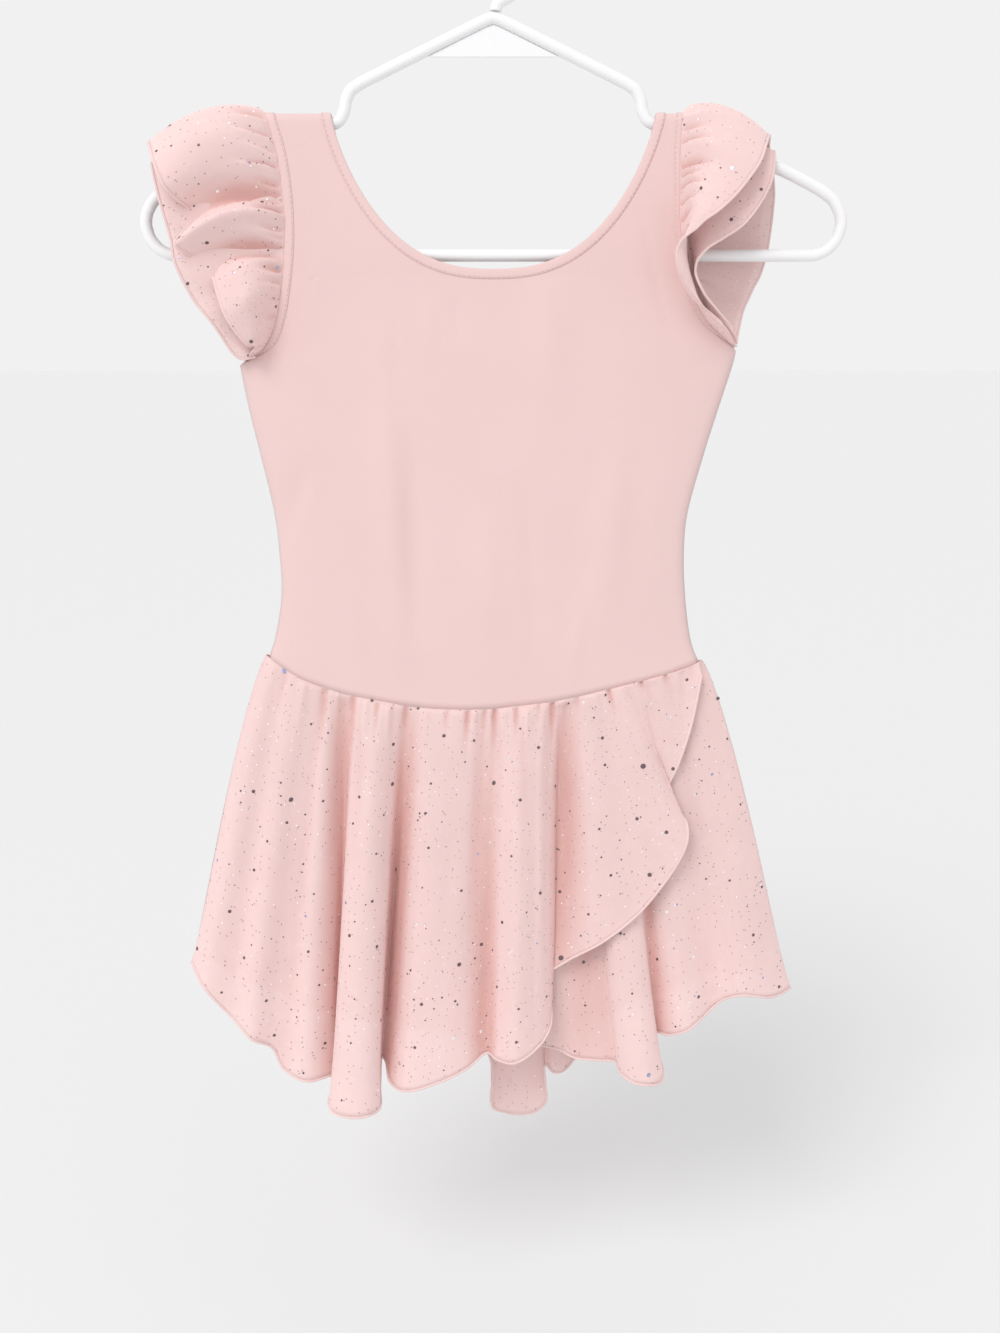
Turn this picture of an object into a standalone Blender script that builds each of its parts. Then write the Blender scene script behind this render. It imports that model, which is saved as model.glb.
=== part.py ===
"""Skirted leotard with flutter sleeves, hanging on a tubular plastic hanger.

Metres, +Z up, the front faces -Y. The origin is the inside top of the
hanger's hook. Tables are in millimetres, as on a cutting sheet.
The cloth is placed by two coordinates: x across, and g, the way down the
cloth from the fold over the hanger.
"""
import math
import bpy

MM = 0.001

# Cloth and seams
WALL = 1.2
SEAM_GAP = 0.3
SEAM_LIP = 0.15
SEAM_TURN = 1.6
BINDING_PROUD = 0.4

# Hanger
TUBE_RADIUS = 3.7
HOOK_RADIUS = 3.6
HOOK_LOOP_RADIUS = 24.6
WEB_THICKNESS = 2.4
TUBE_CLEARANCE = 0.6
HOOK_LOOP_FROM = -8.0
HOOK_LOOP_TURN = 208.0
HOOK_LOOP_PIECES = 18

# Bodice
SHOULDER_Z = -118.5
FOLD_RADIUS = TUBE_RADIUS + TUBE_CLEARANCE + WALL
ROLL = FOLD_RADIUS * math.pi / 2
NECK_HALF_WIDTH = 98.0
NECK_FRONT_DROP = 94.0
NECK_BACK_DROP = 112.0
NECK_BINDING = 6.0
NECK_SQUARENESS = 1.389
NECK_ROUNDNESS = 0.4
ARMPIT_Z = {-1: -266.0, 1: -257.5}
ARM_BINDING = {-1: 6.2, 1: 4.2}
BINDING_FADE = 12.0
ARMPIT_RUN = 24.0
ARMPIT_GAPS = 6
BODY_SQUARENESS = 4
BODY_ROUNDNESS = 0.6
BACK_CREASES = -0.6
MIDDLE_STRAIGHT = 120.0
MIDDLE_FADE = 60.0

# Skirt, sleeves and brief
SKIRT_PROUD = 1.2
UNDERLAP_INSET = 0.8
BRIEF_INSET = 2.8
BRIEF_HOLLOW = 1.8
BRIEF_LEFT = -145.4
BRIEF_RIGHT = 130.4
BRIEF_SIDE = 44.0
BRIEF_TAPER = 0.06
LEG_ROUNDNESS = 0.62
BRIEF_COLUMNS = 16
WAIST_GATHERS = 24
WAIST_START = -148.0
WAIST_LENGTH = 284.0
GATHER = WAIST_LENGTH / WAIST_GATHERS
GATHER_AT_SEAM = 0.3
GATHER_BELOW = 1.1
GATHER_RISE = 0.08
GATHER_END = 0.75
SKIRT_FLARE = 0.22
SLEEVE_GATHERS = 30
FRILL_AT_SEAM = 0.15
FRILL_BETWEEN = 2.8
FRILL_AT_HEM = 0.4
CROTCH_Z = -665.0
CROTCH_HALF = 32.0

# Edge of the armhole: height, x on the left, x on the right
ARMHOLE = [
    (-266.0, -158.5, 153.0),
    (-257.5, -144.0, 151.0),
    (-240.0, -135.0, 132.0),
    (-220.0, -130.7, 122.0),
    (-200.0, -128.0, 116.8),
    (-180.0, -127.3, 114.0),
    (-160.0, -128.5, 113.5),
    (-140.0, -131.5, 113.0),
    (-118.5, -137.5, 114.0),
]
# Side seam: height, x on the left, x on the right
SIDE = [
    (-460.0, -148.5, 136.5),
    (-453.0, -146.5, 132.0),
    (-440.0, -142.0, 127.5),
    (-412.0, -137.0, 123.5),
    (-385.0, -137.5, 122.0),
    (-360.0, -139.8, 123.5),
    (-320.0, -148.0, 133.5),
    (-296.0, -153.3, 140.5),
    (-266.0, -158.5, 149.5),
    (-257.5, -159.0, 151.0),
]
# Half depth of the body: height, in the middle, at the edge
DEPTH = [
    (-460.0, 10.0, 1.6),
    (-330.0, 10.0, 1.6),
    (-285.0, 9.4, 1.6),
    (-266.0, 9.2, 1.6),
    (-245.0, 8.8, 4.6),
    (-225.0, 8.4, 6.6),
    (-200.0, 8.0, 7.0),
    (-160.0, 7.0, 6.6),
    (-123.0, FOLD_RADIUS, FOLD_RADIUS),
]
# Waist seam: x, height in front, height behind
WAIST = [
    (-149.0, -451.5, -451.5),
    (-141.0, -456.5, -454.0),
    (-123.0, -467.0, -458.0),
    (-89.0, -477.3, -464.0),
    (-46.0, -484.6, -468.5),
    (-19.0, -486.0, -470.0),
    (6.0, -484.6, -470.0),
    (39.0, -480.4, -468.0),
    (88.0, -469.4, -463.0),
    (122.0, -460.5, -458.5),
    (137.0, -455.0, -455.0),
]
# Long soft folds of the bodice front: x and height of the top, the same of
# the end, half width, depth (a minus sign is a trough)
CREASES = [
    (-70.0, -240.0, -58.0, -470.0, 9.0, 1.8),
    (-52.0, -300.0, -50.0, -450.0, 8.0, -1.5),
    (-8.0, -350.0, 2.0, -440.0, 9.0, 1.2),
    (78.0, -300.0, 70.0, -440.0, 10.0, 1.6),
    (-118.0, -320.0, -136.0, -392.0, 7.0, -1.4),
    (30.0, -215.0, 40.0, -300.0, 11.0, 1.2),
]
# Hem of the overlapping front: x at the waist, then x, y, z at the hem
OVERLAP_HEM = [
    (-148.0, -206.0, -2.0, -664.0),
    (-142.0, -195.0, -17.0, -676.0),
    (-134.0, -176.0, -17.0, -699.0),
    (-127.0, -163.0, -26.0, -709.0),
    (-119.0, -150.0, -19.0, -719.0),
    (-113.0, -143.0, -18.0, -735.0),
    (-106.0, -127.0, -24.0, -741.0),
    (-98.0, -108.0, -16.0, -740.0),
    (-93.0, -104.0, -15.0, -746.0),
    (-87.0, -111.0, -29.0, -758.0),
    (-79.0, -101.0, -43.0, -767.0),
    (-70.0, -84.0, -42.0, -765.0),
    (-62.0, -75.0, -29.0, -754.0),
    (-56.0, -78.0, -17.0, -727.0),
    (-51.0, -72.0, -16.0, -726.0),
    (-45.0, -69.0, -26.0, -739.0),
    (-36.0, -57.0, -35.0, -747.0),
    (-22.0, -38.0, -37.0, -746.0),
    (-7.0, -18.0, -30.0, -734.0),
    (4.0, -6.0, -22.0, -721.0),
    (13.0, 3.0, -33.0, -723.0),
    (24.0, 18.0, -40.0, -720.0),
    (34.0, 33.0, -33.0, -704.0),
    (40.0, 37.0, -25.0, -689.0),
    (46.0, 33.0, -20.0, -670.0),
    (58.0, 48.0, -21.0, -654.0),
    (74.0, 75.0, -23.0, -637.0),
    (90.0, 100.0, -22.0, -616.0),
    (101.0, 113.0, -21.0, -592.0),
    (108.0, 121.0, -20.0, -568.0),
    (114.0, 117.0, -15.0, -549.0),
    (120.0, 121.0, -13.0, -525.0),
    (125.0, 127.0, -10.5, -500.0),
    (128.5, 131.0, -8.5, -478.0),
    (130.5, 131.8, -7.0, -466.0),
]
# Hem of the front under the overlap, from its hidden end to the side seam
UNDERLAP_HEM = [
    (-24.0, -22.0, -12.0, -700.0),
    (4.0, 10.0, -12.0, -716.0),
    (24.0, 34.0, -13.0, -729.0),
    (38.0, 58.0, -14.0, -730.0),
    (47.0, 76.0, -18.0, -737.0),
    (54.0, 88.0, -29.0, -743.0),
    (62.0, 101.0, -34.0, -748.0),
    (70.0, 113.0, -30.0, -740.0),
    (76.0, 112.0, -20.0, -726.0),
    (82.0, 109.0, -12.0, -710.0),
    (90.0, 124.0, -13.0, -710.0),
    (98.0, 139.0, -19.0, -697.0),
    (107.0, 154.0, -16.0, -682.0),
    (117.0, 174.0, -13.0, -680.0),
    (127.0, 190.0, -16.0, -683.0),
    (133.0, 202.0, -2.0, -680.0),
]
# Hem of the back, from the left side seam to the right
BACK_HEM = [
    (-148.0, -206.0, 2.0, -664.0),
    (-141.0, -193.0, 14.0, -672.0),
    (-128.0, -173.0, 10.0, -684.0),
    (-115.0, -154.0, 22.0, -696.0),
    (-101.0, -134.0, 13.0, -706.0),
    (-88.0, -116.0, 25.0, -713.0),
    (-74.0, -96.0, 14.0, -716.0),
    (-60.0, -77.0, 26.0, -717.0),
    (-46.0, -60.0, 15.0, -722.0),
    (-31.0, -40.0, 24.0, -736.0),
    (-16.0, -14.0, 14.0, -754.0),
    (-8.0, -2.0, 13.0, -774.0),
    (2.0, 6.0, 25.0, -788.0),
    (14.0, 22.0, 26.0, -789.0),
    (24.0, 34.0, 15.0, -772.0),
    (36.0, 48.0, 17.0, -740.0),
    (50.0, 64.0, 25.0, -722.0),
    (64.0, 82.0, 14.0, -712.0),
    (78.0, 101.0, 24.0, -703.0),
    (92.0, 122.0, 13.0, -692.0),
    (106.0, 145.0, 22.0, -684.0),
    (119.0, 169.0, 12.0, -680.0),
    (129.0, 189.0, 14.0, -680.0),
    (135.5, 202.0, 2.0, -680.0),
]
# Hems of the sleeves: share of the armhole from its front end, then x, y, z
LEFT_UPPER_HEM = [
    (0.00, -143.0, -15.0, -254.0),
    (0.06, -152.0, -17.0, -245.0),
    (0.12, -160.0, -21.0, -232.0),
    (0.18, -169.0, -25.0, -214.0),
    (0.24, -176.0, -28.0, -201.0),
    (0.29, -182.0, -30.0, -190.0),
    (0.33, -182.0, -25.0, -180.0),
    (0.38, -189.0, -25.0, -171.0),
    (0.44, -201.0, -20.0, -156.0),
    (0.50, -208.0, -4.0, -135.0),
    (0.56, -205.0, 10.0, -145.0),
    (0.65, -196.0, 21.0, -168.0),
    (0.74, -185.0, 20.0, -192.0),
    (0.84, -173.0, 23.0, -218.0),
    (0.93, -158.0, 18.0, -240.0),
    (1.00, -146.0, 13.0, -254.0),
]
LEFT_LOWER_HEM = [
    (0.00, -147.0, -9.0, -262.0),
    (0.06, -158.0, -11.0, -262.0),
    (0.13, -170.0, -15.0, -244.0),
    (0.21, -183.0, -15.0, -227.0),
    (0.28, -192.0, -18.0, -207.0),
    (0.34, -195.0, -14.0, -192.0),
    (0.42, -201.0, -12.0, -170.0),
    (0.50, -207.0, -2.0, -147.0),
    (0.58, -204.0, 8.0, -163.0),
    (0.68, -195.0, 14.0, -193.0),
    (0.79, -184.0, 12.0, -222.0),
    (0.90, -168.0, 13.0, -248.0),
    (1.00, -149.0, 8.0, -263.0),
]
RIGHT_UPPER_HEM = [
    (0.00, 140.0, -14.0, -242.0),
    (0.06, 120.0, -26.0, -227.0),
    (0.12, 110.0, -34.0, -212.0),
    (0.18, 109.0, -38.0, -198.0),
    (0.25, 120.0, -40.0, -187.0),
    (0.32, 133.0, -38.0, -177.0),
    (0.38, 145.0, -33.0, -166.0),
    (0.44, 157.0, -25.0, -150.0),
    (0.50, 166.0, -5.0, -132.0),
    (0.53, 168.0, 7.0, -136.0),
    (0.56, 170.0, 15.0, -148.0),
    (0.65, 167.0, 25.0, -178.0),
    (0.75, 165.0, 22.0, -201.0),
    (0.85, 159.0, 24.0, -222.0),
    (0.93, 153.0, 18.0, -237.0),
    (1.00, 149.0, 13.0, -246.0),
]
RIGHT_LOWER_HEM = [
    (0.00, 148.0, -9.0, -246.0),
    (0.05, 136.0, -17.0, -234.0),
    (0.10, 126.0, -23.0, -223.0),
    (0.15, 121.0, -26.0, -211.0),
    (0.21, 125.0, -29.0, -201.0),
    (0.29, 138.0, -26.0, -192.0),
    (0.37, 153.0, -23.0, -181.0),
    (0.44, 166.0, -15.0, -160.0),
    (0.47, 169.0, -9.0, -147.5),
    (0.50, 170.0, -1.0, -140.0),
    (0.53, 171.0, 7.5, -149.0),
    (0.57, 173.0, 11.0, -164.0),
    (0.66, 172.0, 15.0, -188.0),
    (0.76, 168.0, 14.0, -208.0),
    (0.87, 158.0, 16.0, -231.0),
    (0.94, 154.0, 11.0, -245.0),
    (1.00, 152.0, 7.0, -254.0),
]
# Half of the hanger's line, from the middle of the top to that of the bar
HANGER_LINE = [
    (0.0, -65.0), (5.0, -66.4), (80.0, -101.6), (85.6, -105.4), (88.6, -111.0),
    (90.0, -117.4), (92.6, -122.2), (97.0, -124.6), (104.0, -125.0), (115.0, -128.4),
    (173.0, -150.0), (199.0, -162.6), (207.0, -168.4), (211.6, -176.0),
    (212.6, -183.0), (210.4, -191.0), (205.0, -197.4), (196.0, -201.0),
    (60.0, -201.0),
]
# The hook's stem, up to where its round loop begins
HOOK_STEM = [
    (1.5, -61.0), (1.8, -58.6), (4.4, -55.6), (9.0, -53.4), (15.4, -48.4),
    (20.4, -41.0), (23.6, -31.6),
]

# Web under the top of the hanger: its corners, x and height
WEB_CORNERS = [(-38.5, -86.6), (38.5, -86.6), (1.6, -69.6), (-1.6, -69.6)]

# Rows and columns of the panels
BODICE_ROWS = 5
ROLL_STEPS = (0.0015, 0.017, 0.036, 0.06, 0.09)
NECK_STEPS = ROLL_STEPS + (0.2, 0.34, 0.48, 0.62, 0.74, 0.84, 0.91, 0.96, 0.99, 1.0)
CHEST_STEPS = (0.35, 0.65, 0.85, 1.0)
HALF_COLUMNS = 7
SKIRT_STEPS = (0.0, 0.05, 0.13, 0.27, 0.45, 0.65, 0.84, 1.0)
SLEEVE_STEPS = (0.0, 0.12, 0.36, 0.68, 1.0)
BRIEF_STEPS = (0.0, 0.08, 0.25, 0.5, 0.75, 0.94, 1.0)


def between(rows, t):
    """Read a table at t along its first column, on a smooth curve."""
    last = len(rows) - 1
    i = 0
    while i < last - 1 and t > rows[i + 1][0]:
        i += 1
    a, b = rows[i], rows[i + 1]
    span = b[0] - a[0]
    u = min(max((t - a[0]) / span, 0.0), 1.0)
    before = rows[max(i - 1, 0)]
    after = rows[min(i + 2, last)]
    values = []
    for k in range(1, len(a)):
        slope_a = (b[k] - before[k]) / (b[0] - before[0]) * span
        slope_b = (after[k] - a[k]) / (after[0] - a[0]) * span
        values.append(
            (2 * u ** 3 - 3 * u ** 2 + 1) * a[k]
            + (u ** 3 - 2 * u ** 2 + u) * slope_a
            + (3 * u ** 2 - 2 * u ** 3) * b[k]
            + (u ** 3 - u ** 2) * slope_b
        )
    return values


def height_of(g):
    """Height of a point g down the cloth from the fold over the hanger."""
    if g < ROLL:
        angle = max(g, SEAM_TURN) / FOLD_RADIUS
        return SHOULDER_Z - FOLD_RADIUS * (1 - math.cos(angle))
    return SHOULDER_Z - FOLD_RADIUS - (g - ROLL)


def down_to(z):
    """Way down the cloth to a height on its flat part."""
    return SHOULDER_Z - FOLD_RADIUS - z + ROLL


def edges(g):
    """x of the left and right edge of the body's cut, g down the cloth."""
    z = height_of(g)
    pair = []
    for column, hand in ((0, -1), (1, 1)):
        table = ARMHOLE if z > ARMPIT_Z[hand] else SIDE
        pair.append(between(table, z)[column])
    return pair


def panel_edges(g):
    """The same for a bodice panel, which ends at the armhole's binding."""
    pair = edges(g)
    z = height_of(g)
    for k, hand in ((0, -1), (1, 1)):
        if z > ARMPIT_Z[hand]:
            full = ARM_BINDING[hand] + SEAM_GAP
            fade = min((z - ARMPIT_Z[hand]) / BINDING_FADE, 1.0)
            pair[k] -= hand * full * fade
    return pair


def crease(x, z):
    """Height of the long folds of the bodice front."""
    total = 0.0
    for x0, z0, x1, z1, width, depth in CREASES:
        along = (z0 - z) / (z0 - z1)
        if 0.0 < along < 1.0:
            off = x - (x0 + (x1 - x0) * along)
            total += depth * math.exp(-(off / width) ** 2) * math.sin(math.pi * along)
    return total


def flat_oval(across):
    """Share of the depth, by the share of the half width from the middle."""
    return max(1 - min(abs(across), 1.0) ** BODY_SQUARENESS, 0.0) ** BODY_ROUNDNESS


def body_depth(x, g, side):
    """Half depth of the body where its cloth lies flat."""
    z = height_of(g)
    middle, edge = between(DEPTH, z)
    left, right = edges(g)
    across = 2 * (x - left) / (right - left) - 1
    lens = flat_oval(across)
    folds = crease(x, z) if side < 0 else BACK_CREASES * crease(-x, z)
    return edge + (middle - edge + folds) * lens


def on_body(x, g, side, out=0.0):
    """Point on the outside of the body, out from its cloth (side -1 is the front)."""
    z = height_of(g)
    if g < ROLL:
        angle = g / FOLD_RADIUS
        radius = FOLD_RADIUS + out
        turned = max(g, SEAM_TURN) / FOLD_RADIUS
        return (x, side * radius * math.sin(angle),
                SHOULDER_Z - FOLD_RADIUS + radius * math.cos(turned))
    return (x, side * (body_depth(x, g, side) + out), z)


def neck_line(step, drop, grow):
    """Half width and way down g of the neckline, by its share of the drop."""
    half = NECK_HALF_WIDTH + grow
    return half * (1 - step ** NECK_SQUARENESS) ** NECK_ROUNDNESS, step * (drop + grow)


def levels(drop, share):
    """Ways down g of a panel's rows to the waist seam's side of the armpit."""
    foot = drop + NECK_BINDING + SEAM_GAP
    arm = down_to(ARMPIT_Z[-1] + (ARMPIT_Z[1] - ARMPIT_Z[-1]) * share)
    neck = [step * foot for step in NECK_STEPS]
    return neck + [foot + (arm - foot) * step for step in CHEST_STEPS]


def material(name, color, roughness, sheen=0.0):
    """Plain surface of one colour."""
    mat = bpy.data.materials.get(name) or bpy.data.materials.new(name)
    mat.use_nodes = True
    shader = mat.node_tree.nodes["Principled BSDF"]
    shader.inputs["Base Color"].default_value = (*color, 1.0)
    shader.inputs["Roughness"].default_value = roughness
    shader.inputs["Metallic"].default_value = 0.0
    shader.inputs["Sheen Weight"].default_value = sheen
    mat.diffuse_color = (*color, 1.0)
    return mat


def jersey():
    return material("pink_jersey", (0.89, 0.66, 0.62), 0.75, 0.2)


def jersey_binding():
    return material("pink_binding", (0.86, 0.61, 0.57), 0.75, 0.2)


def chiffon():
    return material("pink_chiffon", (0.87, 0.63, 0.59), 0.65, 0.3)


def white_plastic():
    return material("white_plastic", (0.86, 0.86, 0.88), 0.35)


def add_wall(name, grids, outward_back, mat, wall=WALL):
    """Cloth from grids of outer points, rows upwards and columns to the right."""
    places, points, faces = {}, [], []
    for grid in grids:
        ids = []
        for row in grid:
            for point in row:
                key = tuple(round(value, 4) for value in point)
                if key not in places:
                    places[key] = len(points)
                    points.append(tuple(value * MM for value in point))
                ids.append(places[key])
        columns = len(grid[0])
        for r in range(len(grid) - 1):
            for c in range(columns - 1):
                at = r * columns + c
                face = [ids[at], ids[at + 1], ids[at + columns + 1], ids[at + columns]]
                face = list(dict.fromkeys(face))
                if len(face) > 2:
                    faces.append(face[::-1] if outward_back else face)
    mesh = bpy.data.meshes.new(name)
    mesh.from_pydata(points, [], faces)
    mesh.shade_smooth()
    obj = bpy.data.objects.new(name, mesh)
    obj.data.materials.append(mat)
    garment.objects.link(obj)
    solid = obj.modifiers.new("wall", "SOLIDIFY")
    solid.thickness = wall * MM
    solid.offset = -1.0
    return obj


def waist_height(x, side):
    front, back = between(WAIST, x)
    return front if side < 0 else back


def panel_point(x, g, side, turned):
    """Point of a bodice panel, or of the edge turned in along its side."""
    point = on_body(x, g, side)
    if turned and g > ROLL:
        turned_in = max(abs(point[1]) - SEAM_TURN, 0.0) + SEAM_LIP
        return (point[0], side * turned_in, point[2])
    return point


def middle_line(g):
    """x of the body's middle, where its two halves meet below the neck."""
    left, right = edges(g)
    return (left + right) / 2 * min(max((g - MIDDLE_STRAIGHT) / MIDDLE_FADE, 0.0), 1.0)


def bodice_panel(name, side, drop):
    """Front or back of the bodice, from the waist seam up to neck and shoulders."""
    grow = NECK_BINDING + SEAM_GAP
    grids = []
    for hand in (-1, 1):
        columns = []
        for c in range(HALF_COLUMNS + 1):
            share = c / HALF_COLUMNS
            across = share / 2 if hand < 0 else 1 - share / 2
            rows = []
            down = levels(drop, across)
            waist_g = down_to(WAIST[0][1])
            for _ in range(4):
                left, right = panel_edges(waist_g)
                x = left + (right - left) * across
                waist_g = down_to(waist_height(x, side))
            down += [down[-1] + (waist_g - down[-1]) * r / BODICE_ROWS
                     for r in range(1, BODICE_ROWS + 1)]
            for r, g in enumerate(down):
                side_x = panel_edges(g)[0 if hand < 0 else 1]
                if r < len(NECK_STEPS):
                    inner_x = hand * neck_line(NECK_STEPS[r], drop, grow)[0]
                else:
                    inner_x = middle_line(g)
                rows.append((side_x + (inner_x - side_x) * share, g))
            columns.append([panel_point(x, g, side, False) for x, g in rows[::-1]])
            if c == 0:
                columns.insert(0, [panel_point(x, g, side, True) for x, g in rows[::-1]])
        if hand > 0:
            columns = columns[::-1]
        grids.append([[column[r] for column in columns] for r in range(len(columns[0]))])
    return add_wall(name, grids, side > 0, jersey())


def neck_binding():
    """Ring of folded jersey round the front and back neckline."""
    grids = []
    for side, drop in ((-1, NECK_FRONT_DROP), (1, NECK_BACK_DROP)):
        steps = (0.0,) + NECK_STEPS[1:]
        path = [(-1, step) for step in steps] + [(1, step) for step in steps[-2::-1]]
        rows = []
        for grow in (NECK_BINDING, 0.0):
            row = []
            for hand, step in path:
                half, g = neck_line(step, drop, grow)
                row.append(on_body(hand * half, g, side, BINDING_PROUD))
            rows.append(row[::-side])
        grids.append(rows)
    return add_wall("neck_binding", grids, False, jersey_binding(), WALL + BINDING_PROUD)


def armhole_path(hand):
    """Rows (g, side) along an armhole, from its front end over the shoulder to the back."""
    share = 0.0 if hand < 0 else 1.0
    front = [(g, -1) for g in levels(NECK_FRONT_DROP, share)[-2:0:-1]]
    back = [(g, 1) for g in levels(NECK_BACK_DROP, share)[1:-1]]
    return front + [(0.0, -1)] + back


def armhole_binding(name, hand):
    """Folded jersey round an armhole, over the shoulder."""
    rows = []
    for g, side in armhole_path(hand):
        edge_x = edges(g)[0 if hand < 0 else 1]
        near_end = max(1 - (height_of(g) - ARMPIT_Z[hand]) / ARMPIT_RUN, 0.0)
        gap = (2 + ARMPIT_GAPS * near_end) * SEAM_GAP
        panel_x = panel_edges(g)[0 if hand < 0 else 1] + hand * gap
        pair = [on_body(edge_x, g, side, BINDING_PROUD), on_body(panel_x, g, side, BINDING_PROUD)]
        rows.append(pair if hand < 0 else pair[::-1])
    return add_wall(name, [rows], False, jersey_binding(), WALL + BINDING_PROUD)


def sleeve_seam(hand, out, aside):
    """Rows (share, x, y, z) of a sleeve's seam, from its front end to its back end."""
    path = armhole_path(hand)[1:-1]
    low = max(path[0][0], path[-1][0])
    rows = []
    for g, side in path:
        x = edges(g)[0 if hand < 0 else 1] + hand * aside
        rows.append((0.5 + side * g / low / 2, *on_body(x, g, side, out)))
    return rows


def straight(rows, t):
    """Read a table at t along its first column, on straight lines."""
    i = 0
    while i < len(rows) - 2 and t > rows[i + 1][0]:
        i += 1
    a, b = rows[i], rows[i + 1]
    u = (t - a[0]) / (b[0] - a[0])
    return [a[k] + (b[k] - a[k]) * u for k in range(1, len(a))]


def sleeve(name, hand, hem, out, aside, bulge):
    """One gathered layer of a flutter sleeve."""
    count = 2 * SLEEVE_GATHERS
    seam = sleeve_seam(hand, out, aside)
    grid = []
    for step in SLEEVE_STEPS[::-1]:
        row = []
        for c in range(count + 1):
            share = c / count
            root = straight(seam, share)
            tip = between(hem, share)
            turn = math.pi * share
            away = (0.0, -math.cos(turn), math.sin(turn))
            wave = (1 if c % 2 else -1) * min(10 * share, 10 * (1 - share), 1.0)
            lift = bulge * 4 * step * (1 - step)
            lift += wave * (FRILL_AT_SEAM + FRILL_BETWEEN * step * (1 - step)
                            + FRILL_AT_HEM * step)
            row.append(tuple(root[k] + (tip[k] - root[k]) * step + away[k] * lift
                             for k in range(3)))
        grid.append(row)
    return add_wall(name, [grid], hand < 0, chiffon())


def gather(x, step):
    """Small waves of the gathered waist, which fade down the skirt."""
    phase = math.cos(2 * math.pi * (x - WAIST_START) / GATHER)
    rise = min(step / GATHER_RISE, 1.0)
    fade = max(1 - step / GATHER_END, 0.0)
    return phase * (GATHER_AT_SEAM + GATHER_BELOW * rise) * fade


def skirt_panel(name, hem, side, proud, spread, turned, fineness):
    """Gathered chiffon from the waist seam to its hem."""
    first, last = hem[0][0], hem[-1][0]
    pitch = GATHER / fineness
    begin = math.ceil((first - WAIST_START) / pitch + 0.2)
    end = math.floor((last - WAIST_START) / pitch - 0.2)
    places = [first] + [WAIST_START + pitch * c for c in range(begin, end + 1)] + [last]
    grid = []
    for step in SKIRT_STEPS[::-1]:
        row = []
        for x in places:
            z_top = waist_height(x, side) - 1.5 * SEAM_GAP
            side_edge = body_depth(x, down_to(z_top), side) + proud
            top = (x, side * side_edge, z_top)
            low = between(hem, x)
            sideways = min(abs(2 * (x - first) / (last - first) - 1), 1.0) ** 3
            across = step ** (1 - SKIRT_FLARE * sideways)
            deep = step ** spread
            middle = 1 - sideways
            wave = side * gather(x, step) * (0.25 + 0.75 * middle)
            row.append((
                top[0] + (low[0] - top[0]) * across,
                top[1] + (low[1] - top[1]) * deep + wave,
                top[2] + (low[2] - top[2]) * step,
            ))
        for end in turned:
            corner = row[0 if end < 0 else -1]
            lip = (corner[0], side * SEAM_LIP, corner[2])
            if end < 0:
                row.insert(0, lip)
            else:
                row.append(lip)
        grid.append(row)
    return add_wall(name, [grid], side > 0, chiffon())


def brief_panel(name, side):
    """Front or back of the brief, with its leg openings."""
    middle, half = (BRIEF_LEFT + BRIEF_RIGHT) / 2, (BRIEF_RIGHT - BRIEF_LEFT) / 2
    crotch = CROTCH_HALF / half
    grid = []
    for step in BRIEF_STEPS[::-1]:
        row = []
        for c in range(BRIEF_COLUMNS + 1):
            share = 2 * c / BRIEF_COLUMNS - 1
            z_top = waist_height(middle + half * share, side) - 2 * SEAM_GAP
            reach = max(abs(share) - crotch, 0.0) / (1 - crotch)
            z_low = CROTCH_Z + (z_top - BRIEF_SIDE - CROTCH_Z) * reach ** LEG_ROUNDNESS
            x = middle + half * share * (1 - BRIEF_TAPER * step * share ** 2)
            full = DEPTH[0][1] - BRIEF_INSET - BRIEF_HOLLOW * min(step / 0.1, 1.0)
            depth = SEAM_TURN + (full - SEAM_TURN) * flat_oval(share)
            closing = max(1 - reach / 0.1, 0.0) * max((step - 0.75) / 0.19, 0.0)
            depth -= (depth - SEAM_TURN) * min(closing, 1.0)
            row.append((x, side * depth, z_top + (z_low - z_top) * step))
        row.insert(0, (row[0][0], side * SEAM_LIP, row[0][2]))
        row.append((row[-1][0], side * SEAM_LIP, row[-1][2]))
        grid.append(row)
    return add_wall(name, [grid], side > 0, jersey())


def tube(name, line, radius, closed):
    """Round plastic tube along a line of (x, z) points."""
    curve = bpy.data.curves.new(name, "CURVE")
    curve.dimensions = "3D"
    curve.bevel_depth = radius * MM
    curve.bevel_resolution = 2
    curve.use_fill_caps = not closed
    spline = curve.splines.new("POLY")
    spline.points.add(len(line) - 1)
    for point, (x, z) in zip(spline.points, line):
        point.co = (x * MM, 0.0, z * MM, 1.0)
    spline.use_cyclic_u = closed
    spline.use_smooth = True
    curve.materials.append(white_plastic())
    obj = bpy.data.objects.new(name, curve)
    garment.objects.link(obj)
    return obj


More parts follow.
